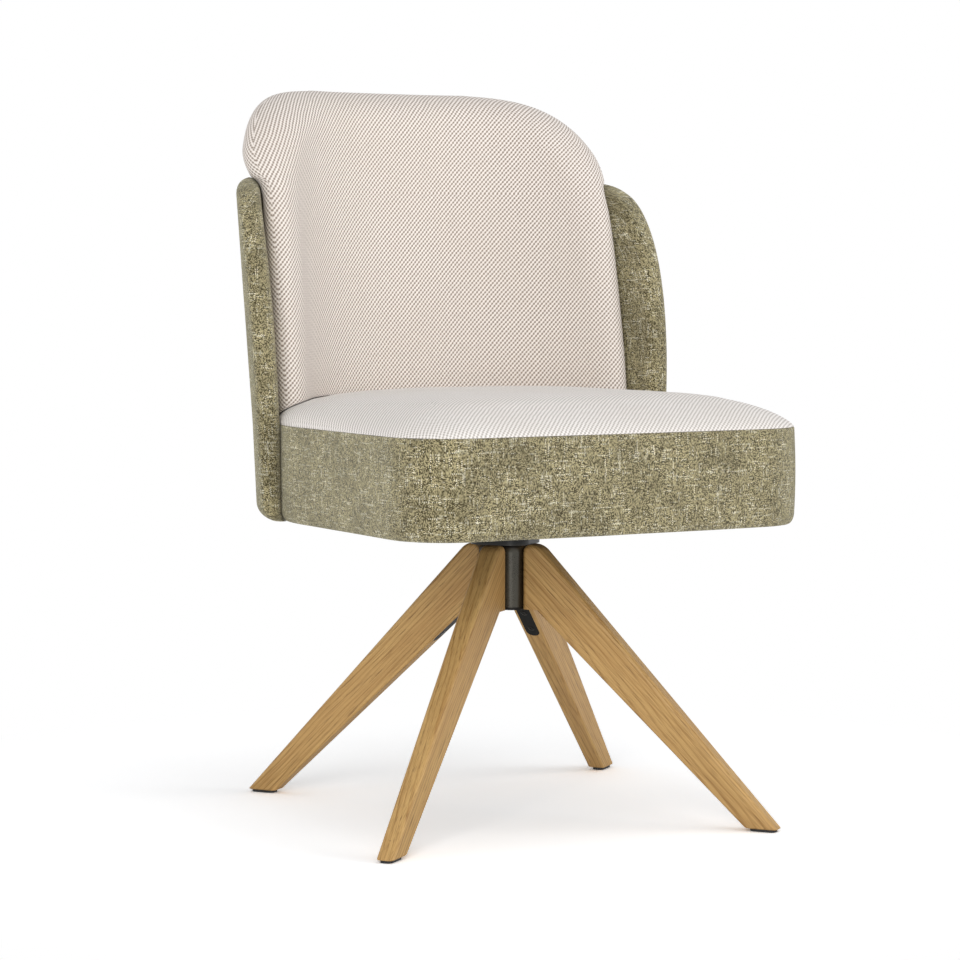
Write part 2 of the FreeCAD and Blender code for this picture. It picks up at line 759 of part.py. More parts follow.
def seat_outline(inset, level, corner_loss=None):
    """The seat's plan at a level, moved inward by inset all round.

    The front corners lose as much radius as the inset, or corner_loss where it is given.
    """
    half = size.seat_half_width
    full_radius = (half ** 2 + size.front_bow ** 2) / (2 * size.front_bow)
    front_radius = full_radius - inset
    front_centre = Vec(0, -size.seat_front + full_radius, level)
    small = size.front_corner_round - (inset if corner_loss is None else corner_loss)
    side = half - inset
    corner_x = side - small
    reach = front_radius - small
    corner = Vec(corner_x, front_centre.y - math.sqrt(reach ** 2 - corner_x ** 2), level)
    outward = (corner - front_centre).normalize()
    turn_x = size.bend_centre_out
    turn_y = size.bend_centre_back
    rear = bend_radius - inset
    corner_mid = (outward + Vec(1, 0, 0)).normalize()

    def mirror(point):
        return Vec(-point.x, point.y, point.z)

    front_end = corner + outward * small
    side_front = Vec(side, corner.y, level)
    side_rear = Vec(side, turn_y, level)
    rear_mid = Vec(turn_x + rear * DIAGONAL, turn_y + rear * DIAGONAL, level)
    rear_end = Vec(turn_x, turn_y + rear, level)
    edges = [
        Part.Arc(mirror(front_end), Vec(0, -size.seat_front + inset, level), front_end).toShape(),
        Part.Arc(front_end, corner + corner_mid * small, side_front).toShape(),
        Part.makeLine(side_front, side_rear),
        Part.Arc(side_rear, rear_mid, rear_end).toShape(),
        Part.makeLine(rear_end, mirror(rear_end)),
        Part.Arc(mirror(rear_end), mirror(rear_mid), mirror(side_rear)).toShape(),
        Part.makeLine(mirror(side_rear), mirror(side_front)),
        Part.Arc(mirror(side_front), mirror(corner + corner_mid * small), mirror(front_end)).toShape(),
    ]
    return Part.Wire(edges)


def slab(inset, low, high):
    """A flat layer of the seat between two levels."""
    return Part.Face(seat_outline(inset, low)).extrude(UP * (high - low))


def drilled(shape, radius, low, high):
    """The same layer with a hole for each bolt of the swivel plate."""
    for across, along in bolt_places:
        shape = shape.cut(Part.makeCylinder(radius, high - low, Vec(across, along, low), UP))
    return shape


def radial_cylinders(radius, start, end, level, angles):
    """Bars that point outward from the centres of the two rear bends of the seat."""
    bars = []
    for angle in angles:
        for side in (-1, 1):
            outward = heading(angle if side > 0 else 180 - angle)
            centre = Vec(side * size.bend_centre_out, bend_back(level), level)
            bars.append(Part.makeCylinder(radius, end - start, centre + outward * start, outward))
    return bars


def bend_back(level):
    """How far behind the swivel axis the back's bends have their centres at a level."""
    return size.bend_centre_back + max(0.0, level - size.seam_level) * tangent(size.back_lean)


def flare(level):
    """How much wider the back is at a level than at the seam."""
    return max(0.0, level - size.seam_level) * tangent(size.back_flare)


BACK_BOLT_ANGLES = (20.0, 68.0)
PAD_SCREW_ANGLES = (60.0,)
core_inset = size.border_thick + size.soft_gap
frame_inside = bend_radius - core_inset - size.frame_wide
ply_outer = shell_inner_radius + size.lining_thick + size.ply_thick
bolt_end = ply_outer - size.bolt_end_margin
head_floor = frame_inside + size.back_bolt_head_thick


def bolt_level_bars(radius, start, end):
    return radial_cylinders(radius, start, end, size.back_bolt_level, BACK_BOLT_ANGLES)


BOLT_CUTTER = Part.makeCompound(bolt_level_bars(size.back_bolt_radius + size.push_gap,
                                                frame_inside - OVERCUT, bolt_end + size.push_gap))
BOLT_SINKS = Part.makeCompound(bolt_level_bars(size.back_bolt_head_radius + size.push_gap,
                                               frame_inside - OVERCUT, head_floor))

cover = slab(core_inset, size.seat_underside, board_bottom)
cover = drilled(cover, size.bolt_radius + size.push_gap, size.seat_underside, board_bottom)
keep(from_shape("dust_cover", cover), "dust_cover")
board = slab(core_inset, board_bottom, board_top)
board = drilled(board, size.bolt_radius + size.push_gap, board_bottom, board_top)
keep(from_shape("seat_board", board), "seat_board")

frame_ring = slab(core_inset, board_top, frame_top)
frame_ring = frame_ring.cut(slab(core_inset + size.frame_wide, board_top, frame_top))
frame_ring = frame_ring.cut(BOLT_CUTTER).cut(BOLT_SINKS)
keep(from_shape("seat_frame", frame_ring), "seat_frame")

foam_low = board_top + size.soft_gap
keep(from_shape("foam_block", slab(core_inset + size.frame_wide + size.soft_gap, foam_low, frame_top)),
     "foam_block")
topper = slab(core_inset, frame_top + size.soft_gap, size.seam_level - size.soft_gap)
keep(from_shape("foam_topper", topper), "foam_topper")

border = slab(0.0, size.seat_underside, size.seam_level)
foot_edges = [edge for edge in border.Edges if abs(middle(edge).z - size.seat_underside) < SAME_PLACE]
border = border.makeChamfer(size.border_foot_bevel, foot_edges)
border = border.cut(slab(size.border_thick, size.seat_underside, size.seam_level)).cut(BOLT_CUTTER)
keep(from_shape("seat_border", border), "seat_border")


# Seat cushion: a crowned top that is drawn in towards the seam

# Each pair is a share of the crown's rise and a share of how far it is drawn in there.
CROWN_PROFILE = ((0.0, 0.0), (0.3, 0.09), (0.6, 0.25), (0.82, 0.47), (0.95, 0.75), (1.0, 1.0))
CORNER_LOSS = 0.35


def crown(extra):
    """The cushion over the seam; with extra above zero, the space that it needs."""
    outlines = []
    for rise, drawn_in in CROWN_PROFILE:
        inset = size.crown_spread * drawn_in
        level = size.seam_level + size.soft_gap + size.crown_rise * rise
        outlines.append(seat_outline(inset - extra, level + extra, inset * CORNER_LOSS))
    return Part.makeLoft(outlines, True, True)


keep(from_shape("seat_cushion", crown(0.0)), "seat_cushion")


# Back: bands that bend round the rear of the seat, stacked up from plan sections

# Shares of a rounding's depth at which it is cut through, and limits for the ends of a band
ROUND_STEPS = (0.0, 0.15, 0.5, 1.0)
LONGEST_END = 40.0
SHALLOWEST_BEND = 12.0
END_SHARE = 0.4
NEARLY_LEVEL = 0.9965
SWEEP_STEPS = 9
PLY_STEPS = 4
BOARD_FLATS = 8


def bend(first, through, last, flats=None):
    """An arc through three points, or that many straight runs along it."""
    arc = Part.Arc(first, through, last).toShape()
    if flats is None:
        return [arc]
    return Part.makePolygon(arc.discretize(flats + 1)).Edges


def band_slice(level, outer, inner, front, end_length, end_round, shift=0.0, flats=None):
    """A plan section of a band with rounded ends, open towards the sitter.

    The inner bends have their centres moved forward by shift, so that the band is thicker behind.
    A kerfed board has flats, that many along each bend, and bevelled ends.
    """
    turn_x = size.bend_centre_out
    back = bend_back(level)
    inner_rear = back - shift + inner
    front = min(front, inner_rear - SHALLOWEST_BEND)
    start = min(front + min(end_length, LONGEST_END), inner_rear - SHALLOWEST_BEND / 3)
    tip = min(end_round, (outer - inner + shift) * END_SHARE)

    def on_bend(radius, along, centre):
        return Vec(turn_x + math.sqrt(radius ** 2 - (along - centre) ** 2), along, level)

    def side_points(radius, inward, centre):
        begin = on_bend(radius, start, centre)
        core = on_bend(radius + inward, start, centre)
        end = on_bend(radius + inward, front, centre)
        shoulder = core + (begin - core) * DIAGONAL + (end - core) * DIAGONAL
        angle = (math.atan2(start - centre, begin.x - turn_x) + math.pi / 2) / 2
        half_way = Vec(turn_x + radius * math.cos(angle), centre + radius * math.sin(angle), level)
        rear = Vec(turn_x, centre + radius, level)
        return rear, half_way, begin, shoulder, end

    outer_points = side_points(outer, -tip, back)
    inner_points = side_points(inner, tip, back - shift)
    right = list(outer_points) + list(reversed(inner_points))
    left = [Vec(-point.x, point.y, point.z) for point in reversed(right)]
    edges = []
    for line in (right, left):
        edges += bend(line[0], line[1], line[2], flats)
        edges += bend(line[2], line[3], line[4], flats and 1)
        edges.append(Part.makeLine(line[4], line[5]))
        edges += bend(line[5], line[6], line[7], flats and 1)
        edges += bend(line[7], line[8], line[9], flats)
        if line is right:
            edges.append(Part.makeLine(right[9], left[0]))
    edges.append(Part.makeLine(left[9], right[0]))
    return Part.Wire(edges)


def swept_front(level, low_front, curve_start, sweep, top):
    """Where a front edge lies at a level, and how much longer a level cut through it is.

    Seen from the side the edge is a quarter of an ellipse that starts upright and ends level.
    """
    share = min(max(0.0, (level - curve_start) / (top - curve_start)), NEARLY_LEVEL)
    rest = math.sqrt(1 - share * share)
    slope = sweep * share / (top - curve_start) / rest
    return low_front + sweep * (1 - rest), math.sqrt(1 + slope * slope)


def wing_front(level, margin):
    """The shell's front edge: a steep line beside the seat, then a long curve to its top."""
    low = size.seat_underside
    line_share = min(1.0, (level - low) / (size.wing_curve_start - low))
    front, stretch = swept_front(level, size.wing_front + size.wing_step * line_share,
                                 size.wing_curve_start - margin, size.wing_sweep,
                                 size.shell_top - margin)
    return front + margin, stretch


def rounding(depth, radius):
    """How much a rounded edge is drawn in at a depth below its crest."""
    left_over = max(0.0, radius - depth)
    return radius - math.sqrt(radius ** 2 - left_over ** 2)


def sweep_levels(start, top, count):
    """Levels between which the swept front edge moves back by even steps, the last near its top."""
    levels = []
    for step in range(1, count + 1):
        rest = 1 - (1 - math.sqrt(1 - NEARLY_LEVEL ** 2)) * step / count
        levels.append(start + (top - start) * math.sqrt(1 - rest * rest))
    return levels


def spread(low, high, count):
    """Levels evenly spaced from low to high, both included."""
    return [low + (high - low) * step / (count - 1) for step in range(count)]


def shell_slice(level):
    below_seam = max(0.0, size.seam_level - level) / (size.seam_level - size.seat_underside)
    thick = size.shell_thick - (size.shell_thick - size.shell_foot_thick) * below_seam
    foot = rounding(level - size.seat_underside, size.shell_foot_round)
    crest = rounding(size.shell_top - level, size.shell_top_round)
    inner = shell_inner_radius + flare(level)
    front, stretch = wing_front(level, 0.0)
    end_round = size.shell_end_round
    return band_slice(level, inner + thick - foot - crest, inner + crest, front,
                      end_round * stretch, end_round)


def ply_slice(level):
    inner = shell_inner_radius + flare(level) + size.lining_thick
    front, stretch = wing_front(level, size.ply_margin)
    end_round = size.ply_thick / 3
    return band_slice(level, inner + size.ply_thick, inner, front, end_round * stretch, end_round,
                      flats=BOARD_FLATS)


def stack(slice_at, levels):
    return Part.makeLoft([slice_at(level) for level in levels], True, True)


shell_levels = [size.seat_underside + size.shell_foot_round * step for step in ROUND_STEPS]
shell_levels.append(size.seam_level)
shell_levels += sweep_levels(size.wing_curve_start, size.shell_top, SWEEP_STEPS)
shell_levels.append(size.shell_top)
ply_low = size.seat_underside + size.ply_margin
ply_high = size.shell_top - size.ply_margin
ply_levels = [ply_low, size.seam_level]
ply_levels += sweep_levels(size.wing_curve_start, ply_high, PLY_STEPS)
ply = stack(ply_slice, ply_levels)

screw_bars = []
screw_heads = []
screw_holes = []
former_face = shell_inner_radius - size.soft_gap - size.former_cover - size.former_thick
for level in (size.pad_screw_low, size.pad_screw_high):
    start = former_face + flare(level)
    head_end = ply_outer + flare(level)
    seat_face = head_end - size.pad_screw_head_thick
    screw_bars += radial_cylinders(size.pad_screw_radius, start + size.push_gap, head_end, level,
                                   PAD_SCREW_ANGLES)
    screw_heads += radial_cylinders(size.pad_screw_head_radius, seat_face, head_end, level,
                                    PAD_SCREW_ANGLES)
    screw_holes += radial_cylinders(size.pad_screw_radius + size.push_gap, start - size.push_gap,
                                    head_end, level, PAD_SCREW_ANGLES)
    screw_holes += radial_cylinders(size.pad_screw_head_radius + size.push_gap,
                                    seat_face - size.push_gap, head_end + size.soft_gap, level,
                                    PAD_SCREW_ANGLES)
SCREW_CUTTER = Part.makeCompound(screw_holes)

shell = stack(shell_slice, shell_levels)
shell = shell.cut(ply).cut(BOLT_CUTTER).cut(SCREW_CUTTER)
keep(from_shape("back_shell", shell), "back_shell")
keep(from_shape("shell_ply", ply.cut(BOLT_CUTTER).cut(SCREW_CUTTER)), "shell_ply")

bars = bolt_level_bars(size.back_bolt_radius, frame_inside + size.push_gap, bolt_end)
heads = bolt_level_bars(size.back_bolt_head_radius, frame_inside + size.push_gap,
                        head_floor - size.running_gap)
back_bolts = [bar.fuse(head) for bar, head in zip(bars, heads)]
keep(from_shape("back_bolts", Part.makeCompound(back_bolts)), "back_bolts")
pad_screws = [bar.fuse(head) for bar, head in zip(screw_bars, screw_heads)]
keep(from_shape("pad_screws", Part.makeCompound(pad_screws)), "pad_screws")


# Back pad: it lies in the shell, and its top roll overhangs the shell's rim

ROLL_STEPS = (0.4, 0.68, 0.87, 0.97, 1.0)

def pad_front(level, margin=0.0):
    front, stretch = swept_front(level, size.pad_front, size.pad_curve_start, size.pad_sweep,
                                 size.pad_top + size.pad_crest_margin - margin)
    return front + margin, stretch


def snug(level):
    """The pad's outer radius where it lies in the shell."""
    return shell_inner_radius + flare(level) - size.soft_gap


def pad_slice(level):
    front, stretch = pad_front(level)
    end_round = size.pad_end_round
    return band_slice(level, snug(level), snug(level) - size.pad_side_thick, front,
                      end_round * stretch, end_round, size.pad_rear_extra)


roll_foot = size.shell_top + size.soft_gap


def roll_slice(level):
    """The top roll: it swells out over the rim, then both faces are drawn in to the crest."""
    climb = min(1.0, (level - roll_foot) / (size.roll_widest - roll_foot))
    overhang = size.roll_overhang_low + (size.roll_overhang - size.roll_overhang_low) * climb
    share = max(0.0, (level - size.roll_widest) / (size.pad_top - size.roll_widest))
    drawn_in = 1 - math.sqrt(1 - share ** 2)
    outer = snug(level) + overhang - size.roll_round * drawn_in
    inner = snug(level) - size.pad_side_thick + size.roll_inner_round * drawn_in
    front, stretch = pad_front(level)
    fullest = size.pad_end_round + (size.roll_end_round - size.pad_end_round) * climb
    end_round = min(fullest, (outer - inner + size.pad_rear_extra) * END_SHARE)
    return band_slice(level, outer, inner, front, end_round * stretch, end_round, size.pad_rear_extra)


pad_low = stack(pad_slice, spread(size.pad_foot, roll_foot, 7))
roll_levels = spread(roll_foot, size.roll_widest, 3)
roll_levels += [size.roll_widest + step * (size.pad_top - size.roll_widest) for step in ROLL_STEPS]
pad_roll = stack(roll_slice, roll_levels)
pad_shape = pad_low.fuse(pad_roll).cut(crown(size.soft_gap))


def former(extra):
    """The thin curved board inside the pad's back; with extra above zero, its pocket in the pad."""
    low = size.pad_foot + size.former_margin - extra
    high = size.shell_top - size.former_margin + extra

    def former_slice(level):
        front, stretch = pad_front(level, size.former_margin - extra)
        end_round = size.former_thick / 3
        outer = snug(level) - size.former_cover
        return band_slice(level, outer + extra, outer - size.former_thick - extra,
                          front, end_round * stretch, end_round, flats=BOARD_FLATS)

    return stack(former_slice, spread(low, high, 4))


pad_shape = pad_shape.cut(former(size.push_gap)).cut(SCREW_CUTTER)
keep(from_shape("back_pad", pad_shape), "back_pad")
keep(from_shape("pad_former", former(0.0).cut(SCREW_CUTTER)), "pad_former")


# Move the whole chair so that the origin is the middle of its footprint

doc.recompute()
extent = FreeCAD.BoundBox()
for item in nodes:
    extent.add(item.Shape.optimalBoundingBox(False))
step_back = FreeCAD.Placement(Vec(0, -extent.Center.y, 0), FreeCAD.Rotation())
for item in nodes:
    item.Placement = step_back.multiply(item.Placement)
doc.recompute()


# Check every object, then write one file for each node

for item in doc.Objects:
    if "Invalid" in item.State or "Error" in item.State:
        raise RuntimeError(item.Label + " failed to build")
for item in nodes:
    if item.Shape.isNull() or not item.Shape.isValid():
        raise RuntimeError(item.Label + " has no valid shape")
    if not item.Shape.Solids:
        raise RuntimeError(item.Label + " is not solid")

os.makedirs("parts", exist_ok=True)
for item in nodes:
    item.Shape.exportStep("parts/" + item.Label + ".step")
print("%d pieces, swivel axis at Y = %.2f mm" % (len(nodes), -extent.Center.y))
print("extent X %.1f to %.1f, depth %.1f, height %.1f"
      % (extent.XMin, extent.XMax, extent.YLength, extent.ZLength))
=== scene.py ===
# %% [markdown]
# # A swivel dining chair
# This lesson dresses a chair whose solid parts are already modelled. The oak, metal and plastic parts
# keep their shape and get a finish. The four upholstered parts are built again here as soft goods.

# %% Load the chair
import json
import math
import bpy
import numpy as np
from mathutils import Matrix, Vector


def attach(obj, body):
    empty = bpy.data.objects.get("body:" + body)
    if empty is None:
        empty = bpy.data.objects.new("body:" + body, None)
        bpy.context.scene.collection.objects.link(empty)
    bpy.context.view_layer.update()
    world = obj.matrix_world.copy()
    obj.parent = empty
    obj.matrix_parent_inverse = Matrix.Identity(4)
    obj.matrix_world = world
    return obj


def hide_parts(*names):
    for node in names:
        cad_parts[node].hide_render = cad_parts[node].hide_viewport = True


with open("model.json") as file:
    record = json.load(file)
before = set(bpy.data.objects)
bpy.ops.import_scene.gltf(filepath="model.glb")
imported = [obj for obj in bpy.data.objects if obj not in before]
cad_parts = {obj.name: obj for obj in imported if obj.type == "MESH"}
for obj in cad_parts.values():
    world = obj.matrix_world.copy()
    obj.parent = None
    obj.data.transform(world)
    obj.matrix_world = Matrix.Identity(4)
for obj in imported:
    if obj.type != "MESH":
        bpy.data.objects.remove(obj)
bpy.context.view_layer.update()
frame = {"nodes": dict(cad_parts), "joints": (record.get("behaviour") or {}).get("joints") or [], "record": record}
nodes = frame["nodes"]
swivel = next(joint for joint in frame["joints"] if joint["name"] == "seat_swivel")
AXIS_Y = swivel["pos_m"][1]
print("parts:", len(nodes), "swivel axis at y =", AXIS_Y)

# %% [markdown]
# ## Drawing about the swivel axis
# An upholsterer measures a chair from its middle. The shapes below are worked out in millimetres about
# the swivel axis, with the sitter facing -Y, and one helper turns them into metres in the chair's frame.

# %% Millimetres about the axis, metres in the frame
MM = 0.001


def to_frame(points):
    return np.asarray(points, float) * MM + np.array([0.0, AXIS_Y, 0.0])


def from_frame(points):
    return (np.asarray(points, float) - np.array([0.0, AXIS_Y, 0.0])) / MM


def make_piece(name, points, faces):
    """A smooth-shaded mesh object from points in millimetres."""
    mesh = bpy.data.meshes.new(name)
    mesh.from_pydata(to_frame(points).tolist(), [], [list(map(int, face)) for face in faces])
    mesh.validate()
    mesh.shade_smooth()
    piece = bpy.data.objects.new(name, mesh)
    bpy.context.scene.collection.objects.link(piece)
    return piece


def read_floats(source, label, count):
    """One value of three numbers per element, such as a mesh's points or normals."""
    flat = np.empty(count * 3, np.float32)
    source.foreach_get(label, flat)
    return flat.reshape(-1, 3).astype(float)


def read_points(piece):
    return read_floats(piece.data.vertices, "co", len(piece.data.vertices))


def read_normals(piece):
    return read_floats(piece.data.vertices, "normal", len(piece.data.vertices))


def write_points(piece, points):
    piece.data.vertices.foreach_set("co", np.asarray(points, np.float32).ravel())
    piece.data.update()


def loop_faces(rings, around, joined=False):
    """Quads between rings of points round closed loops; joined adds quads from the last to the first."""
    faces = []
    for ring in range(rings if joined else rings - 1):
        low, high = ring * around, (ring + 1) % rings * around
        for step in range(around):
            after = (step + 1) % around
            faces.append((low + step, low + after, high + after, high + step))
    return faces


def dense_start(count):
    """Shares from 0 to 1 that are dense near 0, for a rounding that starts there."""
    return 1 - np.cos(np.linspace(0, math.pi / 2, count))


def drawn_in(depth, wide, tall=None):
    """How much a rounded edge is drawn in at a depth below its crest."""
    left_over = np.clip(1 - depth / (tall or wide), 0, 1)
    return wide * (1 - np.sqrt(1 - left_over ** 2))


def running(steps):
    """Distance covered before each step and after the last."""
    return np.concatenate([[0.0], np.cumsum(steps)])


def unit(vectors):
    """Each row at a length of one."""
    return vectors / np.linalg.norm(vectors, axis=1, keepdims=True)


def spare_cloth(places, plan, heights):
    """How much longer the cloth over a curve is than its plan, from each place to the curve's end."""
    run = running(np.hypot(np.diff(plan), np.diff(heights)))
    return np.interp(places, plan, (run[-1] - run) - (plan[-1] - plan))


def mirrored(right):
    """The left half of an outline in plan, from its right half."""
    return right[::-1] * np.array([-1.0, 1.0])


# %% [markdown]
# ## The seat's outline
# The seat is a D: a slightly bowed front with large corners, straight sides, and a rear that follows
# the back. Offsetting the outline by its arcs, not by scaling it, keeps a border or a seam equally wide
# all round, as a pattern cutter would draw it.

# %% Outline of the seat at any inset
SEAT_HALF, SEAT_FRONT, FRONT_BOW, CORNER_ROUND = 244.0, 254.0, 6.0, 68.0
BEND_OUT, BEND_BACK = 30.0, 24.0
BEND_RADIUS = SEAT_HALF - BEND_OUT
SEAT_FOOT, SEAM, CROWN_TOP = 328.5, 433.0, 35.6


def sweep(centre, radius, first, last, count):
    """Points along an arc between two angles, both included."""
    angles = np.linspace(first, last, count)
    return np.stack([centre[0] + radius * np.cos(angles), centre[1] + radius * np.sin(angles)], axis=1)


def seat_outline(inset, corner_loss=None):
    """Points round the seat, from the middle of the front, over the right side, back to the front."""
    bow_radius = (SEAT_HALF ** 2 + FRONT_BOW ** 2) / (2 * FRONT_BOW)
    bow_y = -SEAT_FRONT + bow_radius
    small = CORNER_ROUND - (inset if corner_loss is None else corner_loss)
    side = SEAT_HALF - inset
    reach = bow_radius - inset - small
    corner = np.array([side - small, bow_y - math.sqrt(reach ** 2 - (side - small) ** 2)])
    bow_angle = math.atan2(corner[1] - bow_y, corner[0])
    front = sweep((0.0, bow_y), bow_radius - inset, -math.pi / 2, bow_angle, 34)[:-1]
    front[0, 0] = 0.0
    round_corner = sweep(corner, small, bow_angle, 0.0, 22)
    straight = np.stack([np.full(22, side), np.linspace(corner[1], BEND_BACK, 22)], axis=1)[1:-1]
    bend = sweep((BEND_OUT, BEND_BACK), BEND_RADIUS - inset, 0.0, math.pi / 2, 46)
    rear_y = BEND_BACK + BEND_RADIUS - inset
    rear = np.stack([np.linspace(BEND_OUT, 0.0, 5)[1:], np.full(4, rear_y)], axis=1)
    right = np.concatenate([front, round_corner, straight, bend, rear])
    return np.concatenate([right, mirrored(right[1:-1])])


def along_loop(loop):
    """Distance along a closed outline, counted both ways from its line of symmetry."""
    steps = np.linalg.norm(np.diff(loop[:, :2], axis=0, append=loop[:1, :2]), axis=1)
    travel = abs(loop[0, 0]) + running(steps)[:-1]
    total = steps.sum()
    return np.where(travel > total / 2, travel - total, travel)


outline = seat_outline(0.0)
print("outline:", len(outline), "points,", round(float(abs(along_loop(outline)).max() * 2)), "mm round")

# %% [markdown]
# ## Threads follow the cloth
# A weave has to run along the cloth as it was cut and pulled round the frame. Each soft piece stores
# where a point lies in the cloth, in metres across and along, as an attribute called weave, and the
# fabric materials read that.

# %% Store the cloth coordinates
def store_weave(piece, across, along):
    values = np.stack([across * MM, along * MM, np.zeros(len(across))], axis=1)
    layer = piece.data.attributes.new("weave", "FLOAT_VECTOR", "POINT")
    layer.data.foreach_set("vector", values.astype(np.float32).ravel())


def bend_back(level):
    """How far behind the axis the centres of the back's bends lie: the back leans 6.6 degrees."""
    return BEND_BACK + np.maximum(0.0, level - SEAM) * math.tan(math.radians(6.6))


def from_bend(points):
    """How far each point lies beside and behind the centre of its bend, and its radius from it."""
    beside = np.maximum(0.0, np.abs(points[:, 0]) - BEND_OUT)
    behind = points[:, 1] - bend_back(points[:, 2])
    return beside * np.sign(points[:, 0]), behind, np.hypot(beside, behind)


# %% [markdown]
# ## Uneven, as cloth and wadding are
# Upholstery is never as true as a drawing: wadding packs a little more here and less there. A low, slow
# noise moves the surface by a few tenths of a millimetre along its normals. It is worked out from
# position with sines, so it is the same in every run.

# %% Small unevenness along the normals
def unevenness(points):
    """A smooth value from about -1 to 1 that wanders over some centimetres."""
    x, y, z = (points / 46.0).T
    first = np.sin(1.7 * x + 0.6 * z + np.sin(1.3 * y)) * np.cos(1.1 * z - 0.7 * y + 0.4)
    second = np.sin(3.9 * x - 2.3 * y + 0.9) * np.sin(3.1 * z + 1.9 * y)
    return 0.7 * first + 0.3 * second


def settle(piece, amount):
    """Move a piece's skin by its unevenness, in millimetres."""
    points = read_points(piece)
    wander = unevenness(from_frame(points))[:, None] * read_normals(piece)
    write_points(piece, points + wander * amount * MM)


# %% [markdown]
# ## Stuffing the cushions
# Foam under cloth pushes outwards while the seams hold. A cloth simulation with inner pressure does the
# same: the seam points are pinned, the rest swells for twenty steps, and no point may go further than a
# cap. Starting from a slightly smaller shape leaves room for that swelling.

# %% Swell a piece by cloth simulation
def swell(piece, held, cap, pressure=4.0, steps=20):
    """Inflate a closed piece whose held points stay where they are, and keep the result."""
    before = read_points(piece)
    scene = bpy.context.scene
    scene.frame_set(1)
    group = piece.vertex_groups.new(name="held")
    group.add([int(index) for index in np.nonzero(held)[0]], 1.0, "REPLACE")
    cloth = piece.modifiers.new("stuffing", "CLOTH")
    cloth.settings.quality = 6
    cloth.settings.use_pressure = True
    cloth.settings.uniform_pressure_force = pressure
    cloth.settings.vertex_group_mass = "held"
    cloth.settings.effector_weights.gravity = 0.0
    cloth.collision_settings.use_self_collision = False
    for step in range(1, steps + 1):
        scene.frame_set(step)
    solved = piece.evaluated_get(bpy.context.evaluated_depsgraph_get()).to_mesh()
    moved = read_floats(solved.vertices, "co", len(before)) - before
    piece.modifiers.remove(cloth)
    piece.vertex_groups.remove(group)
    scene.frame_set(1)
    length = np.linalg.norm(moved, axis=1, keepdims=True)
    moved *= np.minimum(1.0, cap * MM / np.maximum(length, 1e-9))
    write_points(piece, before + moved)
    print(piece.name, "swelled by up to", round(float(length.max() / MM), 1), "mm")
    return before + moved


# %% [markdown]
# ## Seat cushion
# On the real seat a sheet of cream cloth is drawn over domed foam and sewn to the border all round. It
# could be a grid pushed up in the middle, but then its edge would not follow the seam. Rings drawn
# inwards from the seam follow it exactly, and their height gives a full edge and a nearly level top.

# %% Build the crowned cushion
CROWN_SPREAD, FRONT_SPREAD = 160.0, 135.0
FIRST_INSET = 0.5
CLEAR, SLACK = 0.4, 2.5
CUSHION_MIDDLE = [0.0, 10.0]


def crown_height(inset, along=100.0):
    """Height above the seam at a distance in from it: a slow rise in front, a full one at the rear."""
    inset = np.asarray(inset, float)
    slow = (1 - (1 - np.clip(inset / FRONT_SPREAD, 0, 1)) ** 2.3) ** 0.72
    full = (1 - (1 - np.clip(inset / CROWN_SPREAD, 0, 1)) ** 2) ** 0.38
    share = np.clip((np.asarray(along, float) + 170.0) / 200.0, 0, 1)
    share = share * share * (3 - 2 * share)
    return CROWN_TOP * (slow + (full - slow) * share)


def cloth_to_spare(inset):
    """How much further the cloth is from the middle than the plan says, because it runs downhill."""
    plan = np.linspace(0.0, CROWN_SPREAD, 1200)
    return spare_cloth(inset, plan, crown_height(plan, -200.0))


def cushion_rings():
    """Rings from the seam to the middle, and the place of each of their points in the cloth."""
    insets = FIRST_INSET + (CROWN_SPREAD - FIRST_INSET) * np.linspace(0.0, 1.0, 42) ** 2.1
    rings, cloth = [], []
    for inset in insets:
        flat = seat_outline(inset, min(inset, CORNER_ROUND - 12.0) * 0.55)
        level = SEAM + CLEAR + crown_height(inset - FIRST_INSET, outline[:, 1])
        rings.append(np.column_stack([flat, level]))
        cloth.append(flat + unit(outline - flat) * cloth_to_spare(inset - FIRST_INSET))
    last, flat = rings[-1], cloth[-1]
    middle = np.array(CUSHION_MIDDLE + [last[:, 2].max()])
    for share in np.linspace(0.1, 0.96, 12):
        rings.append(last + (middle - last) * share)
        cloth.append(flat + (middle[:2] - flat) * share)
    return rings, cloth


def close_with_fan(points, faces, ring_start, around, middle, upward):
    """Close a ring of points with triangles to one middle point."""
    points.append(middle)
    centre = len(points) - 1
    for step in range(around):
        pair = (ring_start + step, ring_start + (step + 1) % around)
        faces.append((*pair, centre) if upward else (pair[1], pair[0], centre))


def build_cushion():
    rings, cloth = cushion_rings()
    around = len(rings[0])
    points = [list(point) for ring in rings for point in ring]
    faces = loop_faces(len(rings), around)
    top = (len(rings) - 1) * around
    close_with_fan(points, faces, top, around, CUSHION_MIDDLE + [rings[-1][:, 2].max()], True)
    close_with_fan(points, faces, 0, around, CUSHION_MIDDLE + [SEAM + CLEAR], False)
    piece = make_piece("cushion_cover", points, faces)
    places = np.concatenate(cloth + [[CUSHION_MIDDLE, CUSHION_MIDDLE]])
    store_weave(piece, places[:, 0], places[:, 1])
    return piece


cushion = build_cushion()
drawn = from_frame(read_points(cushion))
rise = np.clip((drawn[:, 2] - SEAM - CLEAR) / CROWN_TOP, 0, 1)
slack = drawn.copy()
slack[:, 2] -= SLACK * rise
write_points(cushion, to_frame(slack))
swell(cushion, rise < 0.01, cap=5.0)

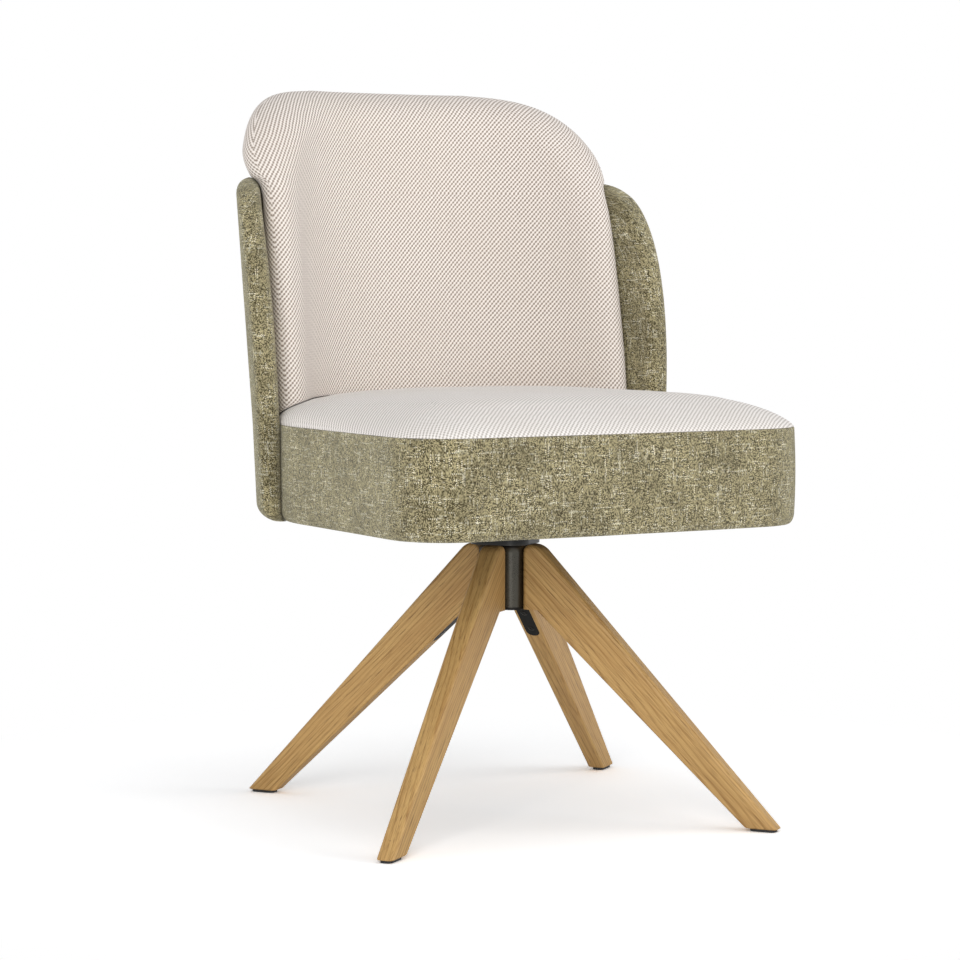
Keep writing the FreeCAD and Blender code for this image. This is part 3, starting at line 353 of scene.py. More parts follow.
# %% Keep the cushion inside its own space
swollen = from_frame(read_points(cushion))
kept = swollen + (drawn - swollen) * 0.9
kept[:, 2] = np.clip(swollen[:, 2], drawn[:, 2] - 0.5 * rise, drawn[:, 2] + 0.5 * rise)
write_points(cushion, to_frame(kept))
settle(cushion, 0.2)
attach(cushion, "seat")
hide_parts("seat_cushion")
print("cushion:", len(cushion.data.polygons), "faces")

# %% [markdown]
# ## Seat border
# The border is a band of olive cloth over thin wadding: it turns under the seat at its foot and meets
# the cushion in a plain seam at its top. Its profile is drawn once and carried round the outline, and
# the front half is a little fuller, because there no shell holds it flat.

# %% Build the border
BORDER_THICK, FOOT_IN, FOOT_RISE, TOP_TURN = 14.0, 6.0, 12.0, 1.4
HEM_WIDTH, SEAM_WIDTH, INSIDE_LEVEL = 11.5, 8.0, 380.0
FRONT_BULGE = 1.6


def foot_inset(level):
    """How far the border's rounded foot is drawn in at a level."""
    return drawn_in(level - SEAT_FOOT, FOOT_IN, FOOT_RISE)


def border_profile():
    """Inset and level of each point, from the inner foot, over the outside, to the inner top."""
    levels = SEAT_FOOT + FOOT_RISE * dense_start(10)
    foot = np.column_stack([foot_inset(levels), levels])
    top = sweep((TOP_TURN, SEAM - TOP_TURN), TOP_TURN, math.pi, math.pi / 2, 6)
    wall = np.column_stack([np.zeros(22), np.linspace(SEAT_FOOT + FOOT_RISE, SEAM - TOP_TURN, 22)])[1:-1]
    hem = [[BORDER_THICK, SEAT_FOOT], [HEM_WIDTH, SEAT_FOOT]]
    inside = [[SEAM_WIDTH, SEAM], [BORDER_THICK, SEAM], [BORDER_THICK, INSIDE_LEVEL]]
    return np.concatenate([hem, foot, wall, top, inside])


def build_border():
    profile = border_profile()
    climb = running(np.linalg.norm(np.diff(profile, axis=0), axis=1))
    points = []
    for inset, level in profile:
        loop = seat_outline(inset)
        height_share = (level - SEAT_FOOT) / (SEAM - SEAT_FOOT)
        bulge = FRONT_BULGE * math.sin(math.pi * height_share) * (1 - inset / BORDER_THICK)
        in_front = np.clip((60.0 - loop[:, 1]) / 60.0, 0, 1)
        loop = loop + unit(loop - np.array([0.0, BEND_BACK])) * (bulge * in_front)[:, None]
        points.append(np.column_stack([loop, np.full(len(loop), level)]))
    faces = loop_faces(len(points), len(outline), joined=True)
    piece = make_piece("border_cover", np.concatenate(points), faces)
    store_weave(piece, np.tile(along_loop(outline), len(points)), np.repeat(climb, len(outline)))
    return piece


border = build_border()
settle(border, 0.12)
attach(border, "seat")
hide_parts("seat_border")
print("border:", len(border.data.polygons), "faces")

# %% [markdown]
# ## A band that bends round the sitter
# The back shell is a band: a plan section with two long bends and rounded ends, which changes with
# height. The ends are swept back in a curve like a quarter of an ellipse. Each level is drawn from its
# radii, so that both faces stay parallel, as they are on a shell of bent ply.

# %% One plan section of a band
BEND_STEPS, END_STEPS, REAR_STEPS = 56, 12, 5
SHELL_INSIDE = BEND_RADIUS + 0.3
SWEEP_START = 440.0


def flare(level):
    return np.maximum(0.0, level - SEAM) * math.tan(math.radians(1.0))


def half_skin(back, radius, inward, front, length):
    """One face of a band's right half, from the middle of the rear to the middle of its end."""
    def on_bend(size, along):
        return np.array([BEND_OUT + math.sqrt(max(0.0, size ** 2 - (along - back) ** 2)), along])

    start = min(front + length, back + radius - 6.0)
    rear_x = BEND_OUT * (np.arange(REAR_STEPS) + 0.5) / REAR_STEPS
    rear = np.column_stack([rear_x, np.full(REAR_STEPS, back + radius)])
    last = math.asin(np.clip((start - back) / radius, -1, 1))
    bend = sweep((BEND_OUT, back), radius, math.pi / 2, last, BEND_STEPS)
    core, tip = on_bend(radius + inward, start), on_bend(radius + inward, front)
    turn = np.linspace(0, math.pi / 2, END_STEPS)[1:, None]
    end = core + (bend[-1] - core) * np.cos(turn) + (tip - core) * np.sin(turn)
    return np.concatenate([rear, bend, end])


def band_section(level, outer, inner, front, tips, stretch):
    """A closed section whose two end corners have the roundings in tips, outer first."""
    back = float(bend_back(level))
    front = min(front, back + inner - 12.0)
    room = (outer - inner) * 0.47
    outer_tip, inner_tip = (min(tip, room) for tip in tips)
    outside = half_skin(back, outer, -outer_tip, front, min(outer_tip * stretch, 40.0))
    inside = half_skin(back, inner, inner_tip, front, min(inner_tip * stretch, 44.0))
    right = np.concatenate([outside, inside[::-1]])
    loop = np.concatenate([right, mirrored(right)])
    return np.column_stack([loop, np.full(len(loop), level)])


def rung_faces(start, around, upward):
    """Close a thin band's section with quads from its outer to its inner face."""
    half, last = around // 2, around - 1
    pairs = [pair for step in range(around // 4 - 1)
             for pair in ((step, half - 1 - step), (half + step, last - step))]
    faces = [(low, low + 1, high - 1, high) for low, high in pairs] + [(0, half - 1, half, last)]
    faces = [tuple(start + index for index in face) for face in faces]
    return faces if upward else [face[::-1] for face in faces]


def swept_front(level, low_front, length, top, power):
    """Where a band's end lies at a level, and how much longer a level cut through it is."""
    share = min(max(0.0, (level - SWEEP_START) / (top - SWEEP_START)), 0.9985)
    rest = (1 - share ** power) ** (1 / power)
    slope = length * share ** (power - 1) * rest ** (1 - power) / (top - SWEEP_START)
    return low_front + length * (1 - rest), math.sqrt(1 + slope * slope)


def stack_band(name, sections):
    around = len(sections[0])
    faces = loop_faces(len(sections), around)
    faces += rung_faces(0, around, False) + rung_faces((len(sections) - 1) * around, around, True)
    return make_piece(name, np.concatenate(sections), faces)


# %% [markdown]
# ## Back shell
# The shell is bent ply under a thin layer of foam and the olive cloth. It carries the pad, so it is
# firm: its faces are plain, and only its edges are soft. Its rim is as round as a leaf's tip, and the
# foot turns under the seat.

# %% Build the shell
SHELL_TOP, SHELL_THICK, SHELL_FOOT_THICK = 704.5, 26.8, 22.5
SHELL_FRONT, SHELL_SWEEP, FOOT_ROUND = 69.0, 108.0, 18.0
SHELL_TIPS = (11.5, 9.0)
RIM_OUTSIDE, RIM_INSIDE = (13.5, 21.0), (12.0, 22.0)


def shell_section(level):
    below = max(0.0, SEAM - level) / (SEAM - SEAT_FOOT)
    thick = SHELL_THICK - (SHELL_THICK - SHELL_FOOT_THICK) * below
    foot = drawn_in(level - SEAT_FOOT, FOOT_ROUND)
    step = 5.0 * min(1.0, (level - SEAT_FOOT) / (SWEEP_START - SEAT_FOOT))
    front, stretch = swept_front(level, SHELL_FRONT + step, SHELL_SWEEP, SHELL_TOP, 2.2)
    inside = SHELL_INSIDE + flare(level)
    outer = inside + thick - foot - drawn_in(SHELL_TOP - level, *RIM_OUTSIDE)
    inner = inside + 0.15 + drawn_in(SHELL_TOP - level, *RIM_INSIDE) - 0.9 * foot_inset(level)
    return band_section(level, outer, inner, front, SHELL_TIPS, stretch)


wall_top = 560.0
foot_levels = SEAT_FOOT + FOOT_ROUND * dense_start(10)
wall_levels = np.linspace(SEAT_FOOT + FOOT_ROUND, wall_top, 34)[1:]
first_angle = math.asin((wall_top - SWEEP_START) / (SHELL_TOP - SWEEP_START))
rim_angles = np.linspace(first_angle, math.pi / 2, 48)[1:]
rim_levels = SWEEP_START + (SHELL_TOP - SWEEP_START) * np.sin(rim_angles)
shell_rings = [shell_section(level) for level in np.concatenate([foot_levels, wall_levels, rim_levels])]
shell = stack_band("shell_cover", shell_rings)
store_weave(shell, np.concatenate([along_loop(ring) for ring in shell_rings]),
            np.concatenate([ring[:, 2] for ring in shell_rings]))
settle(shell, 0.12)
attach(shell, "seat")
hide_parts("back_shell")
print("shell:", len(shell.data.polygons), "faces")

# %% [markdown]
# ## Back pad
# The pad is the softest part: a cream cushion that lies in the shell and rolls over its rim. It could be
# stacked from level cuts like the shell, but a cut near the crest says little about a form that is flat
# there. So the pad is drawn as an upholsterer cuts it: a flat blank with two full corners, a thickness
# that closes in a round along the blank's edge, and then the whole bent to the shell.

# %% The blank of the pad
PAD_TOP, PAD_FOOT, PAD_THICK, PAD_EXTRA = 809.5, 444.0, 30.0, 15.0
ROLL_WIDEST, ROLL_OUT, CREST_SPAN = 743.0, 13.6, 65.0
BACK_ROUND, ROLL_ROUND, FRONT_ROUND, CREST_ROUND = 14.0, 31.5, 40.0, 35.0
BACK_SHARE = 0.3
PAD_BEND, PAD_FRONT = 200.0, 96.0
SHRINK = 0.8


def pad_front(level):
    """Where the pad's ends lie: a straight lean low down, and a quarter of an ellipse above."""
    length = bend_back(PAD_TOP) + PAD_BEND - PAD_FRONT - 1.0
    curve = swept_front(level, PAD_FRONT, length, PAD_TOP, 2.0)[0]
    straight = PAD_FRONT + 2.0 + 0.172 * (level - 463.0)
    blend = 6.0
    return blend * np.logaddexp(curve / blend, straight / blend)


def blank_end(level):
    """Half the length of the blank at a level, measured round the bend."""
    turn = np.clip((pad_front(level) - bend_back(level)) / PAD_BEND, -1.0, 1.0)
    return BEND_OUT + PAD_BEND * math.acos(turn)


def blank_edge():
    """The blank's right edge as a fine line of points, and the direction it runs in at each."""
    heights = PAD_TOP - (PAD_TOP - 380.0) * np.linspace(1.0, 0.0, 900) ** 2.4
    line = np.column_stack([[blank_end(height) for height in heights], heights])
    crest = np.column_stack([np.linspace(line[-1, 0], -60.0, 260)[1:], np.full(259, PAD_TOP)])
    line = np.concatenate([line, crest])
    return line, unit(np.gradient(line, axis=0))


EDGE_LINE, EDGE_RUN = blank_edge()


def edge_distance(places):
    """Distance from the blank's edge, and how level the edge runs at the nearest point."""
    nearest = np.concatenate([np.linalg.norm(part[:, None] - EDGE_LINE, axis=2).argmin(axis=1)
                              for part in np.array_split(places, 8)])
    offset, run = places - EDGE_LINE[nearest], EDGE_RUN[nearest]
    return np.abs(offset[:, 0] * run[:, 1] - offset[:, 1] * run[:, 0]), np.abs(run[:, 0])


print("blank:", round(2 * blank_end(500.0)), "mm long at its foot")

# %% Fold the blank into the shell
def roll_share(levels):
    """From 0 at the shell's rim to 1 where the roll is widest."""
    return np.clip((levels - SHELL_TOP) / (ROLL_WIDEST - SHELL_TOP), 0, 1)


def rim_gap(levels):
    """How far the shell's rounded rim leaves room for the pad, beyond the shell's inner face."""
    return drawn_in(SHELL_TOP - levels, *RIM_INSIDE)


def fold(travel, levels, radius, shift):
    """Bend places on the blank round the sitter, at a radius from a bend centre moved forwards."""
    turn = np.maximum(0.0, np.abs(travel) - BEND_OUT) / PAD_BEND
    x = (np.minimum(np.abs(travel), BEND_OUT) + radius * np.sin(turn)) * np.sign(travel)
    return np.column_stack([x, bend_back(levels) - shift + radius * np.cos(turn), levels])


def cloth_on_round(share):
    """Cloth used on the front's rounding beyond its plain depth, in parts of that depth."""
    plan = np.linspace(0.0, 1.0, 400)
    return spare_cloth(share, plan, 1.3 * drawn_in(plan, 1.0))


def pad_faces(travel, levels):
    """Points on the back and the front face for places on the blank, and the cloth's climb."""
    distance, crest = edge_distance(np.column_stack([np.abs(travel), levels]))
    climb = roll_share(levels)
    crest = crest ** 3.5 * climb
    snug = SHELL_INSIDE - 0.5 + flare(levels)
    overhang = rim_gap(levels) + ROLL_OUT * np.sin(climb * math.pi / 2)
    full_back = fold(travel, levels, snug + overhang - SHRINK * 0.6, 0.0)
    full_front = fold(travel, levels, snug - PAD_THICK + SHRINK, PAD_EXTRA)
    depth_back = BACK_ROUND + (ROLL_ROUND - BACK_ROUND) * climb
    depth_back = depth_back + (CREST_ROUND - depth_back) * crest
    depth_front = FRONT_ROUND + (CREST_ROUND - FRONT_ROUND) * crest
    inwards = full_front - full_back
    back = full_back + inwards * BACK_SHARE * drawn_in(distance / depth_back, 1.0)[:, None]
    front = full_front - inwards * (1 - BACK_SHARE) * drawn_in(distance / depth_front, 1.0)[:, None]
    return back, front, levels + cloth_on_round(distance / depth_front) * depth_front * crest


# %% Draw the pad
PAD_LEVELS = np.concatenate([np.linspace(PAD_FOOT - 6.0, 690.0, 46), np.linspace(693.0, ROLL_WIDEST, 14),
                             PAD_TOP - CREST_SPAN * dense_start(26)[-2::-1]])
END_DEPTH = 44.0


def blank_row(level):
    """Places across the blank at one level, dense near its two ends."""
    close = blank_end(level) - END_DEPTH * dense_start(14)
    plain = np.linspace(close[-1], 0.0, 46)[1:]
    right = np.concatenate([close, plain])
    return np.concatenate([-right, right[-2::-1]])


def run_from_middle(grid):
    """Distance along each row of a face from the row's middle point."""
    steps = np.linalg.norm(np.diff(grid[..., :2], axis=1), axis=2)
    run = np.concatenate([np.zeros((len(grid), 1)), np.cumsum(steps, axis=1)], axis=1)
    middle = grid.shape[1] // 2
    return run - run[:, middle:middle + 1]


def draw_pad():
    rows = np.array([blank_row(min(level, PAD_TOP - 0.001)) for level in PAD_LEVELS])
    across = rows.shape[1]
    levels = np.repeat(PAD_LEVELS, across)
    back, front, climb = pad_faces(rows.ravel(), levels)
    number = np.arange(len(levels)).reshape(rows.shape)
    front_number = number + len(levels)
    front_number[:, 0], front_number[:, -1] = number[:, 0], number[:, -1]
    front_number[-1] = number[-1]
    faces = []
    for row in range(len(rows) - 1):
        for step in range(across - 1):
            quad = [(row, step), (row, step + 1), (row + 1, step + 1), (row + 1, step)]
            faces.append([number[place] for place in quad][::-1])
            faces.append([front_number[place] for place in quad])
    for step in range(across - 1):
        faces.append([*number[0, step:step + 2], *front_number[0, step:step + 2][::-1]])
    faces = [list(dict.fromkeys(face)) for face in faces]
    faces = [face for face in faces if len(face) > 2]
    used, index = np.unique(np.concatenate(faces), return_inverse=True)
    ends = np.cumsum([len(face) for face in faces])[:-1]
    front_run, back_run = (run_from_middle(face.reshape(*rows.shape, 3)) for face in (front, back))
    back_run *= front_run[:, -1:] / back_run[:, -1:]
    piece = make_piece("pad_cover", np.concatenate([back, front])[used], np.split(index, ends))
    cloth = np.concatenate([back_run.ravel(), front_run.ravel()])[used]
    store_weave(piece, cloth, np.tile(climb, 2)[used])
    return piece


def seat_inset(points):
    """Distance in from the seat's outline, for points over its rear half."""
    beside = np.maximum(0.0, np.abs(points[:, 0]) - BEND_OUT)
    behind = np.maximum(0.0, points[:, 1] - BEND_BACK)
    return BEND_RADIUS - np.hypot(beside, behind)


def pad_floor(points):
    """The lowest level that the cushion leaves to the pad."""
    return np.maximum(PAD_FOOT, SEAM + CLEAR + crown_height(seat_inset(points)) + 0.8)


def lift_off_cushion(points):
    """Raise points that lie in the cushion or under the pad's foot."""
    points[:, 2] = np.maximum(points[:, 2], pad_floor(points))
    return points


pad = draw_pad()
write_points(pad, to_frame(lift_off_cushion(from_frame(read_points(pad)))))
print("pad drawn:", len(pad.data.polygons), "faces")

# %% Swell the pad, and hold it clear of the shell and the cushion
def evened(piece, values, rounds):
    """Average a value per point with its neighbours, so only broad changes stay."""
    ends = np.empty(len(piece.data.edges) * 2, np.int32)
    piece.data.edges.foreach_get("vertices", ends)
    first, second = ends.reshape(-1, 2).T
    count = np.maximum(np.bincount(ends, minlength=len(values)), 1)[:, None]
    for _ in range(rounds):
        total = np.zeros_like(values)
        np.add.at(total, first, values[second])
        np.add.at(total, second, values[first])
        values = 0.5 * values + 0.5 * total / count
    return values


def pad_held(points):
    """The points that are glued or screwed: the back face inside the shell, and the foot."""
    radius = from_bend(points)[2]
    glued = (radius > SHELL_INSIDE - 6.0 + flare(points[:, 2])) & (points[:, 2] < SHELL_TOP)
    return glued | (points[:, 2] < pad_floor(points) + 9.0)


def hold_pad(points):
    """Pull points back into the space that the shell leaves, and off the cushion."""
    beside, behind, radius = from_bend(points)
    limit = SHELL_INSIDE - 0.45 + flare(points[:, 2]) + rim_gap(points[:, 2])
    beyond = np.maximum(0.0, radius - limit) * (points[:, 2] < SHELL_TOP + 0.8)
    points[:, :2] -= np.column_stack([beside, behind]) * (beyond / np.maximum(radius, 1.0))[:, None]
    return lift_off_cushion(points)


before, normals = read_points(pad), read_normals(pad)
after = swell(pad, pad_held(from_frame(before)), cap=4.0)
fullness = np.clip(((after - before) * normals).sum(axis=1, keepdims=True), 0.0, 0.0025)
write_points(pad, before + normals * evened(pad, fullness, 16))
refine = pad.modifiers.new("finer_skin", "SUBSURF")
refine.levels = refine.render_levels = 1
pad.data = bpy.data.meshes.new_from_object(pad.evaluated_get(bpy.context.evaluated_depsgraph_get()))
pad.modifiers.remove(refine)
write_points(pad, to_frame(hold_pad(from_frame(read_points(pad)))))
pad.data.shade_smooth()
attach(pad, "seat")
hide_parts("back_pad")
print("pad finished:", len(pad.data.polygons), "faces")

# %% [markdown]
# ## Screws in the bracket
# Two countersunk screws hold each tongue of the black bracket to its leg. They are too small for the
# solid model, so they are turned here as short lathe profiles with a cross recess, flush in the steel.

# %% Turn eight countersunk screws
LEG_TURN = 7.75
SCREW_REACHES = (54.6, 75.6)
LIP = np.array([41.0, 228.0])
FOOT_INNER = np.array([283.5, 3.0])
SLOPE = (FOOT_INNER - LIP) / np.linalg.norm(FOOT_INNER - LIP)
LEG_NAMES = ("rear_right_leg", "rear_left_leg", "front_left_leg", "front_right_leg")


def leg_angle(number):
    return math.radians(45.0 + 90.0 * number - LEG_TURN)


def circle(radius, level, steps):
    """Points round the Z axis, as lists."""
    angles = np.linspace(0, 2 * math.pi, steps, endpoint=False)
    x, y = radius * np.cos(angles), radius * np.sin(angles)
    return np.column_stack([x, y, np.full(steps, level)]).tolist()


def screw_disc():
    """Points and faces of a screw head that lies in the XY plane: a disc with a cross recess."""
    steps = 32
    arm = np.abs(np.cos(2 * np.linspace(0, 2 * math.pi, steps, endpoint=False))) > 0.86
    rings = [(3.9, -0.3), (3.9, 0.12), (3.5, 0.3), (2.2, 0.42),
             (np.where(arm, 1.9, 0.75), 0.4), (np.where(arm, 1.6, 0.6), -0.9)]
    points = [point for radius, level in rings for point in circle(radius, level, steps)]
    faces = loop_faces(len(rings), steps)
    close_with_fan(points, faces, (len(rings) - 1) * steps, steps, [0.0, 0.0, -1.1], True)
    return np.array(points), faces


def build_screws():
    disc, disc_faces = screw_disc()
    points, faces = [], []
    for number in range(len(LEG_NAMES)):
        turn = leg_angle(number)
        radial = np.array([math.cos(turn), math.sin(turn), 0.0])
        sideways = np.array([-math.sin(turn), math.cos(turn), 0.0])
        down_leg = radial * SLOPE[0] + np.array([0.0, 0.0, SLOPE[1]])
        outward = np.cross(sideways, down_leg)
        outward *= -math.copysign(1.0, outward[2])
        for reach in SCREW_REACHES:
            along = (reach - LIP[0]) / SLOPE[0]
            middle = radial * LIP[0] + np.array([0, 0, LIP[1]]) + down_leg * along
            base = len(points)
            points += [middle + down_leg * p[0] + sideways * p[1] + outward * p[2] for p in disc]
            faces += [tuple(base + index for index in face) for face in disc_faces]
    return make_piece("tongue_screws", points, faces)


tongue_screws = build_screws()
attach(tongue_screws, "base")
print("screws:", len(tongue_screws.data.polygons), "faces")

# %% [markdown]
# ## Wiring materials by hand
# Every finish below is a small graph of nodes. Two helper classes keep that short. A graph adds nodes
# and gives back their outputs as signals, and signals are added and multiplied like numbers.

# %% Helpers for node graphs
class Signal:
    """An output of a node. Sums and products of signals add maths nodes to the graph."""

    def __init__(self, graph, socket):
        self.graph = graph
        self.socket = socket

    def __add__(self, other):
        return self.graph.math("ADD", self, other)

    def __sub__(self, other):
        return self.graph.math("SUBTRACT", self, other)

    def __rsub__(self, other):
        return self.graph.math("SUBTRACT", other, self)

    def __mul__(self, other):
        return self.graph.math("MULTIPLY", self, other)

    def __truediv__(self, other):
        return self.graph.math("DIVIDE", self, other)


class Graph:
    """A node tree. Each method adds one node and gives back a signal."""

    def __init__(self, tree):
        self.tree = tree
        self.count = 0

    def node(self, kind, inputs=(), **settings):
        item = self.tree.nodes.new(kind)
        item.location = (200 * (self.count % 12), -260 * (self.count // 12))
        self.count += 1
        for key, value in settings.items():
            setattr(item, key, value)
        for key, value in dict(inputs).items():
            self.feed(item.inputs[key], value)
        return item

    def feed(self, socket, value):
        value = value.socket if isinstance(value, Signal) else value
        if isinstance(value, bpy.types.NodeSocket):
            self.tree.links.new(value, socket)
        else:
            socket.default_value = value

    def connect(self, sockets, **values):
        """Feed sockets by name, with _ in place of a blank."""
        for key, value in values.items():
            self.feed(sockets[key.replace("_", " ")], value)

    def signal(self, kind, inputs=(), output=0, **settings):
        return Signal(self, self.node(kind, inputs, **settings).outputs[output])

    def math(self, operation, *values):
        return self.signal("ShaderNodeMath", enumerate(values), operation=operation)

    def stretch(self, vector, scale):
        return self.signal("ShaderNodeVectorMath", {0: vector, 1: scale}, operation="MULTIPLY")

    def noise(self, vector, scale=1.0, detail=2.0, roughness=0.5):
        return self.signal("ShaderNodeTexNoise", {"Vector": vector, "Scale": scale, "Detail": detail,
                                                  "Roughness": roughness})

    def ease(self, value, low, high, first=0.0, last=1.0):
        return self.signal("ShaderNodeMapRange", enumerate((value, low, high, first, last)),
                           interpolation_type="SMOOTHSTEP")

    def mix(self, share, first, second):
        return self.signal("ShaderNodeMix", {0: share, 6: first, 7: second}, 2, data_type="RGBA")

    def place(self):
        return self.signal("ShaderNodeTexCoord", output="Object")

    def split(self, vector):
        return [Signal(self, part) for part in self.node("ShaderNodeSeparateXYZ", {0: vector}).outputs]

    def join(self, x, y, z=0.0):
        return self.signal("ShaderNodeCombineXYZ", enumerate((x, y, z)))


def new_effect(name, inputs, outputs):
    """The graph of a node group with named sockets, its inputs as signals, and its result sockets."""
    tree = bpy.data.node_groups.new(name, "ShaderNodeTree")
    kinds = {"colour": "NodeSocketColor", "vector": "NodeSocketVector", "value": "NodeSocketFloat"}
    for label, kind, value in inputs:
        socket = tree.interface.new_socket(label, in_out="INPUT", socket_type=kinds[kind])
        if value is not None:
            socket.default_value = value
    for label, kind in outputs:
        tree.interface.new_socket(label, in_out="OUTPUT", socket_type=kinds[kind])
    graph = Graph(tree)
    given = {socket.name: Signal(graph, socket) for socket in graph.node("NodeGroupInput").outputs}
    return graph, given, graph.node("NodeGroupOutput").inputs


def colour(red, green, blue):
    """A colour from screen values of 0 to 255, as linear light."""
    def linear(value):
        value /= 255.0
        return value / 12.92 if value <= 0.04045 else ((value + 0.055) / 1.055) ** 2.4
    return (linear(red), linear(green), linear(blue), 1.0)


def new_material(name, **numbers):
    """A material's graph and its Principled shader, whose fixed numbers are set on its own sockets."""
    material = bpy.data.materials.new(name)
    material.use_nodes = True
    graph = Graph(material.node_tree)
    shader = material.node_tree.nodes["Principled BSDF"]
    graph.connect(shader.inputs, **numbers)
    return material, graph, shader


def put_on(graph, shader, effect, inputs, depth, strength=1.0):
    """Place an effect and feed the shader with its colour, its height as bump, and its roughness."""
    skin = graph.node("ShaderNodeGroup", inputs, node_tree=effect).outputs
    bump = graph.signal("ShaderNodeBump", {"Height": skin["Height"], "Distance": depth,
                                           "Strength": strength})
    graph.connect(shader.inputs, Base_Color=skin["Colour"], Normal=bump)
    if "Roughness" in skin:
        graph.connect(shader.inputs, Roughness=skin["Roughness"])
    return skin


def finish_cloth(name, weave, inputs, depth, **numbers):
    """A cloth whose effect is laid along the stored cloth coordinates."""
    material, graph, shader = new_material(name, **numbers)
    cloth = graph.signal("ShaderNodeAttribute", output="Vector", attribute_name="weave")
    put_on(graph, shader, weave, {"Cloth": cloth, **inputs}, depth)
    return material


# %% [markdown]
# ## Cream cloth
# The cream cloth is a basket weave: pale, thick threads float over a thinner grey-brown ground, and the
# floats step sideways row by row, so slanting lines show. Two crossed cosine waves give the floats and
# one slanting wave gives the step. A little noise keeps any two floats from being equal.

# %% Basket weave
def make_basket_weave():
    graph, given, result = new_effect(
        "basket weave",
        [("Cloth", "vector", None), ("Across", "value", 0.005), ("Along", "value", 0.0054),
         ("Thread", "colour", colour(250, 243, 236)), ("Ground", "colour", colour(176, 163, 150))],
        [("Colour", "colour"), ("Height", "value")])
    cloth = given["Cloth"]
    turn = 2 * math.pi
    wobble = (graph.noise(cloth, 55.0) - 0.5) * 0.0011
    x, y, _ = graph.split(cloth)
    x = (x + wobble) / given["Across"]
    y = (y - wobble) / given["Along"]
    cross = graph.math("COSINE", x * turn) * graph.math("COSINE", y * turn)
    slant = graph.math("COSINE", (x - y) * turn)
    fibre = graph.noise(graph.stretch(cloth, (900.0, 900.0, 1.0)))
    uneven = cross * 0.74 + slant * 0.26 + (fibre - 0.5) * 0.7
    shade = graph.mix(graph.ease(uneven, -0.70, 0.42), given["Ground"], given["Thread"])
    tone = graph.noise(cloth, 9.0, 3.0)
    shade = graph.mix(graph.ease(tone, 0.3, 0.7, 0.0, 0.10), shade, colour(206, 190, 174))
    graph.connect(result, Colour=shade, Height=uneven)
    return graph.tree


basket_weave = make_basket_weave()


def finish_cream(name, thread, ground, depth):
    return finish_cloth(name, basket_weave, {"Thread": thread, "Ground": ground}, depth, Roughness=0.85,
                        Specular_IOR_Level=0.25, Sheen_Weight=0.25, Sheen_Roughness=0.5)


pad.data.materials.append(finish_cream("cream cloth of the pad", colour(250, 241, 233),
                                       colour(153, 139, 127), 0.00035))
cushion.data.materials.append(finish_cream("cream cloth of the seat", colour(248, 243, 238),
                                           colour(186, 179, 172), 0.00025))
print("basket weave:", len(basket_weave.nodes), "nodes")

# %% [markdown]
# ## Olive cloth
# The olive cloth is a melange: each thread is spun from light and dark fibres, so its tone changes every
# few millimetres, and thick pale slubs run a short way in both directions. Noise that is stretched along
# each thread direction gives both, and a fine plain weave breaks them up.

# %% Melange weave
def make_melange_weave():
    graph, given, result = new_effect(
        "melange weave",
        [("Cloth", "vector", None), ("Pitch", "value", 0.00105),
         ("Light", "colour", colour(197, 185, 142)),
         ("Dark", "colour", colour(56, 48, 27)), ("Slub", "colour", colour(250, 245, 220))],
        [("Colour", "colour"), ("Height", "value")])
    cloth = given["Cloth"]
    x, y, _ = graph.split(cloth)
    column, row = x / given["Pitch"], y / given["Pitch"]
    end, pick = graph.math("FLOOR", column), graph.math("FLOOR", row)
    over = graph.math("FLOORED_MODULO", end + pick, 2.0)
    under = 1.0 - over
    crossing = graph.signal("ShaderNodeTexWhiteNoise", {"Vector": graph.join(end, pick)}, "Value",
                            noise_dimensions="2D")
    warp = graph.noise(graph.join(end * 1.7, row * 0.24), 1.0, 2.0, 0.6)
    weft = graph.noise(graph.join(column * 0.24, pick * 1.7, 7.0), 1.0, 2.0, 0.6)
    tone = warp * over + weft * under + (crossing - 0.5) * 0.62
    shade = graph.mix(graph.ease(tone, 0.18, 0.86), given["Dark"], given["Light"])
    slub_up = graph.noise(graph.join(end * 2.3, row * 0.05, 3.0), 1.0, 1.0)
    slub_level = graph.noise(graph.join(column * 0.05, pick * 2.3, 11.0), 1.0, 1.0)
    slub = graph.ease(slub_up, 0.60, 0.67) * over + graph.ease(slub_level, 0.60, 0.67) * under
    slub = slub * graph.ease(crossing, 0.0, 0.5)
    shade = graph.mix(slub * 0.95, shade, given["Slub"])
    cloud = graph.noise(cloth, 18.0, 3.0)
    shade = graph.mix(graph.ease(cloud, 0.38, 0.7, 0.0, 0.30), shade, given["Dark"])
    swell_x, swell_y = graph.math("SINE", column * math.pi), graph.math("SINE", row * math.pi)
    mound = graph.math("ABSOLUTE", swell_x * swell_y)
    graph.connect(result, Colour=shade, Height=mound + slub * 0.7 + crossing * 0.6)
    return graph.tree


melange_weave = make_melange_weave()
olive = finish_cloth("olive melange cloth", melange_weave, {}, 0.00030, Roughness=0.9,
                     Specular_IOR_Level=0.2, Sheen_Weight=0.55, Sheen_Roughness=0.45,
                     Sheen_Tint=colour(235, 232, 210))
border.data.materials.append(olive)
shell.data.materials.append(olive)
print("melange weave:", len(melange_weave.nodes), "nodes")

# %% [markdown]
# ## Oak
# Each leg is sawn along the grain, so the growth rings show as long lines on its sides and as pointed
# arches where the saw cut across them. Rings round a pith line that is nearly parallel to the leg give
# both at once, if every leg is measured in its own direction.

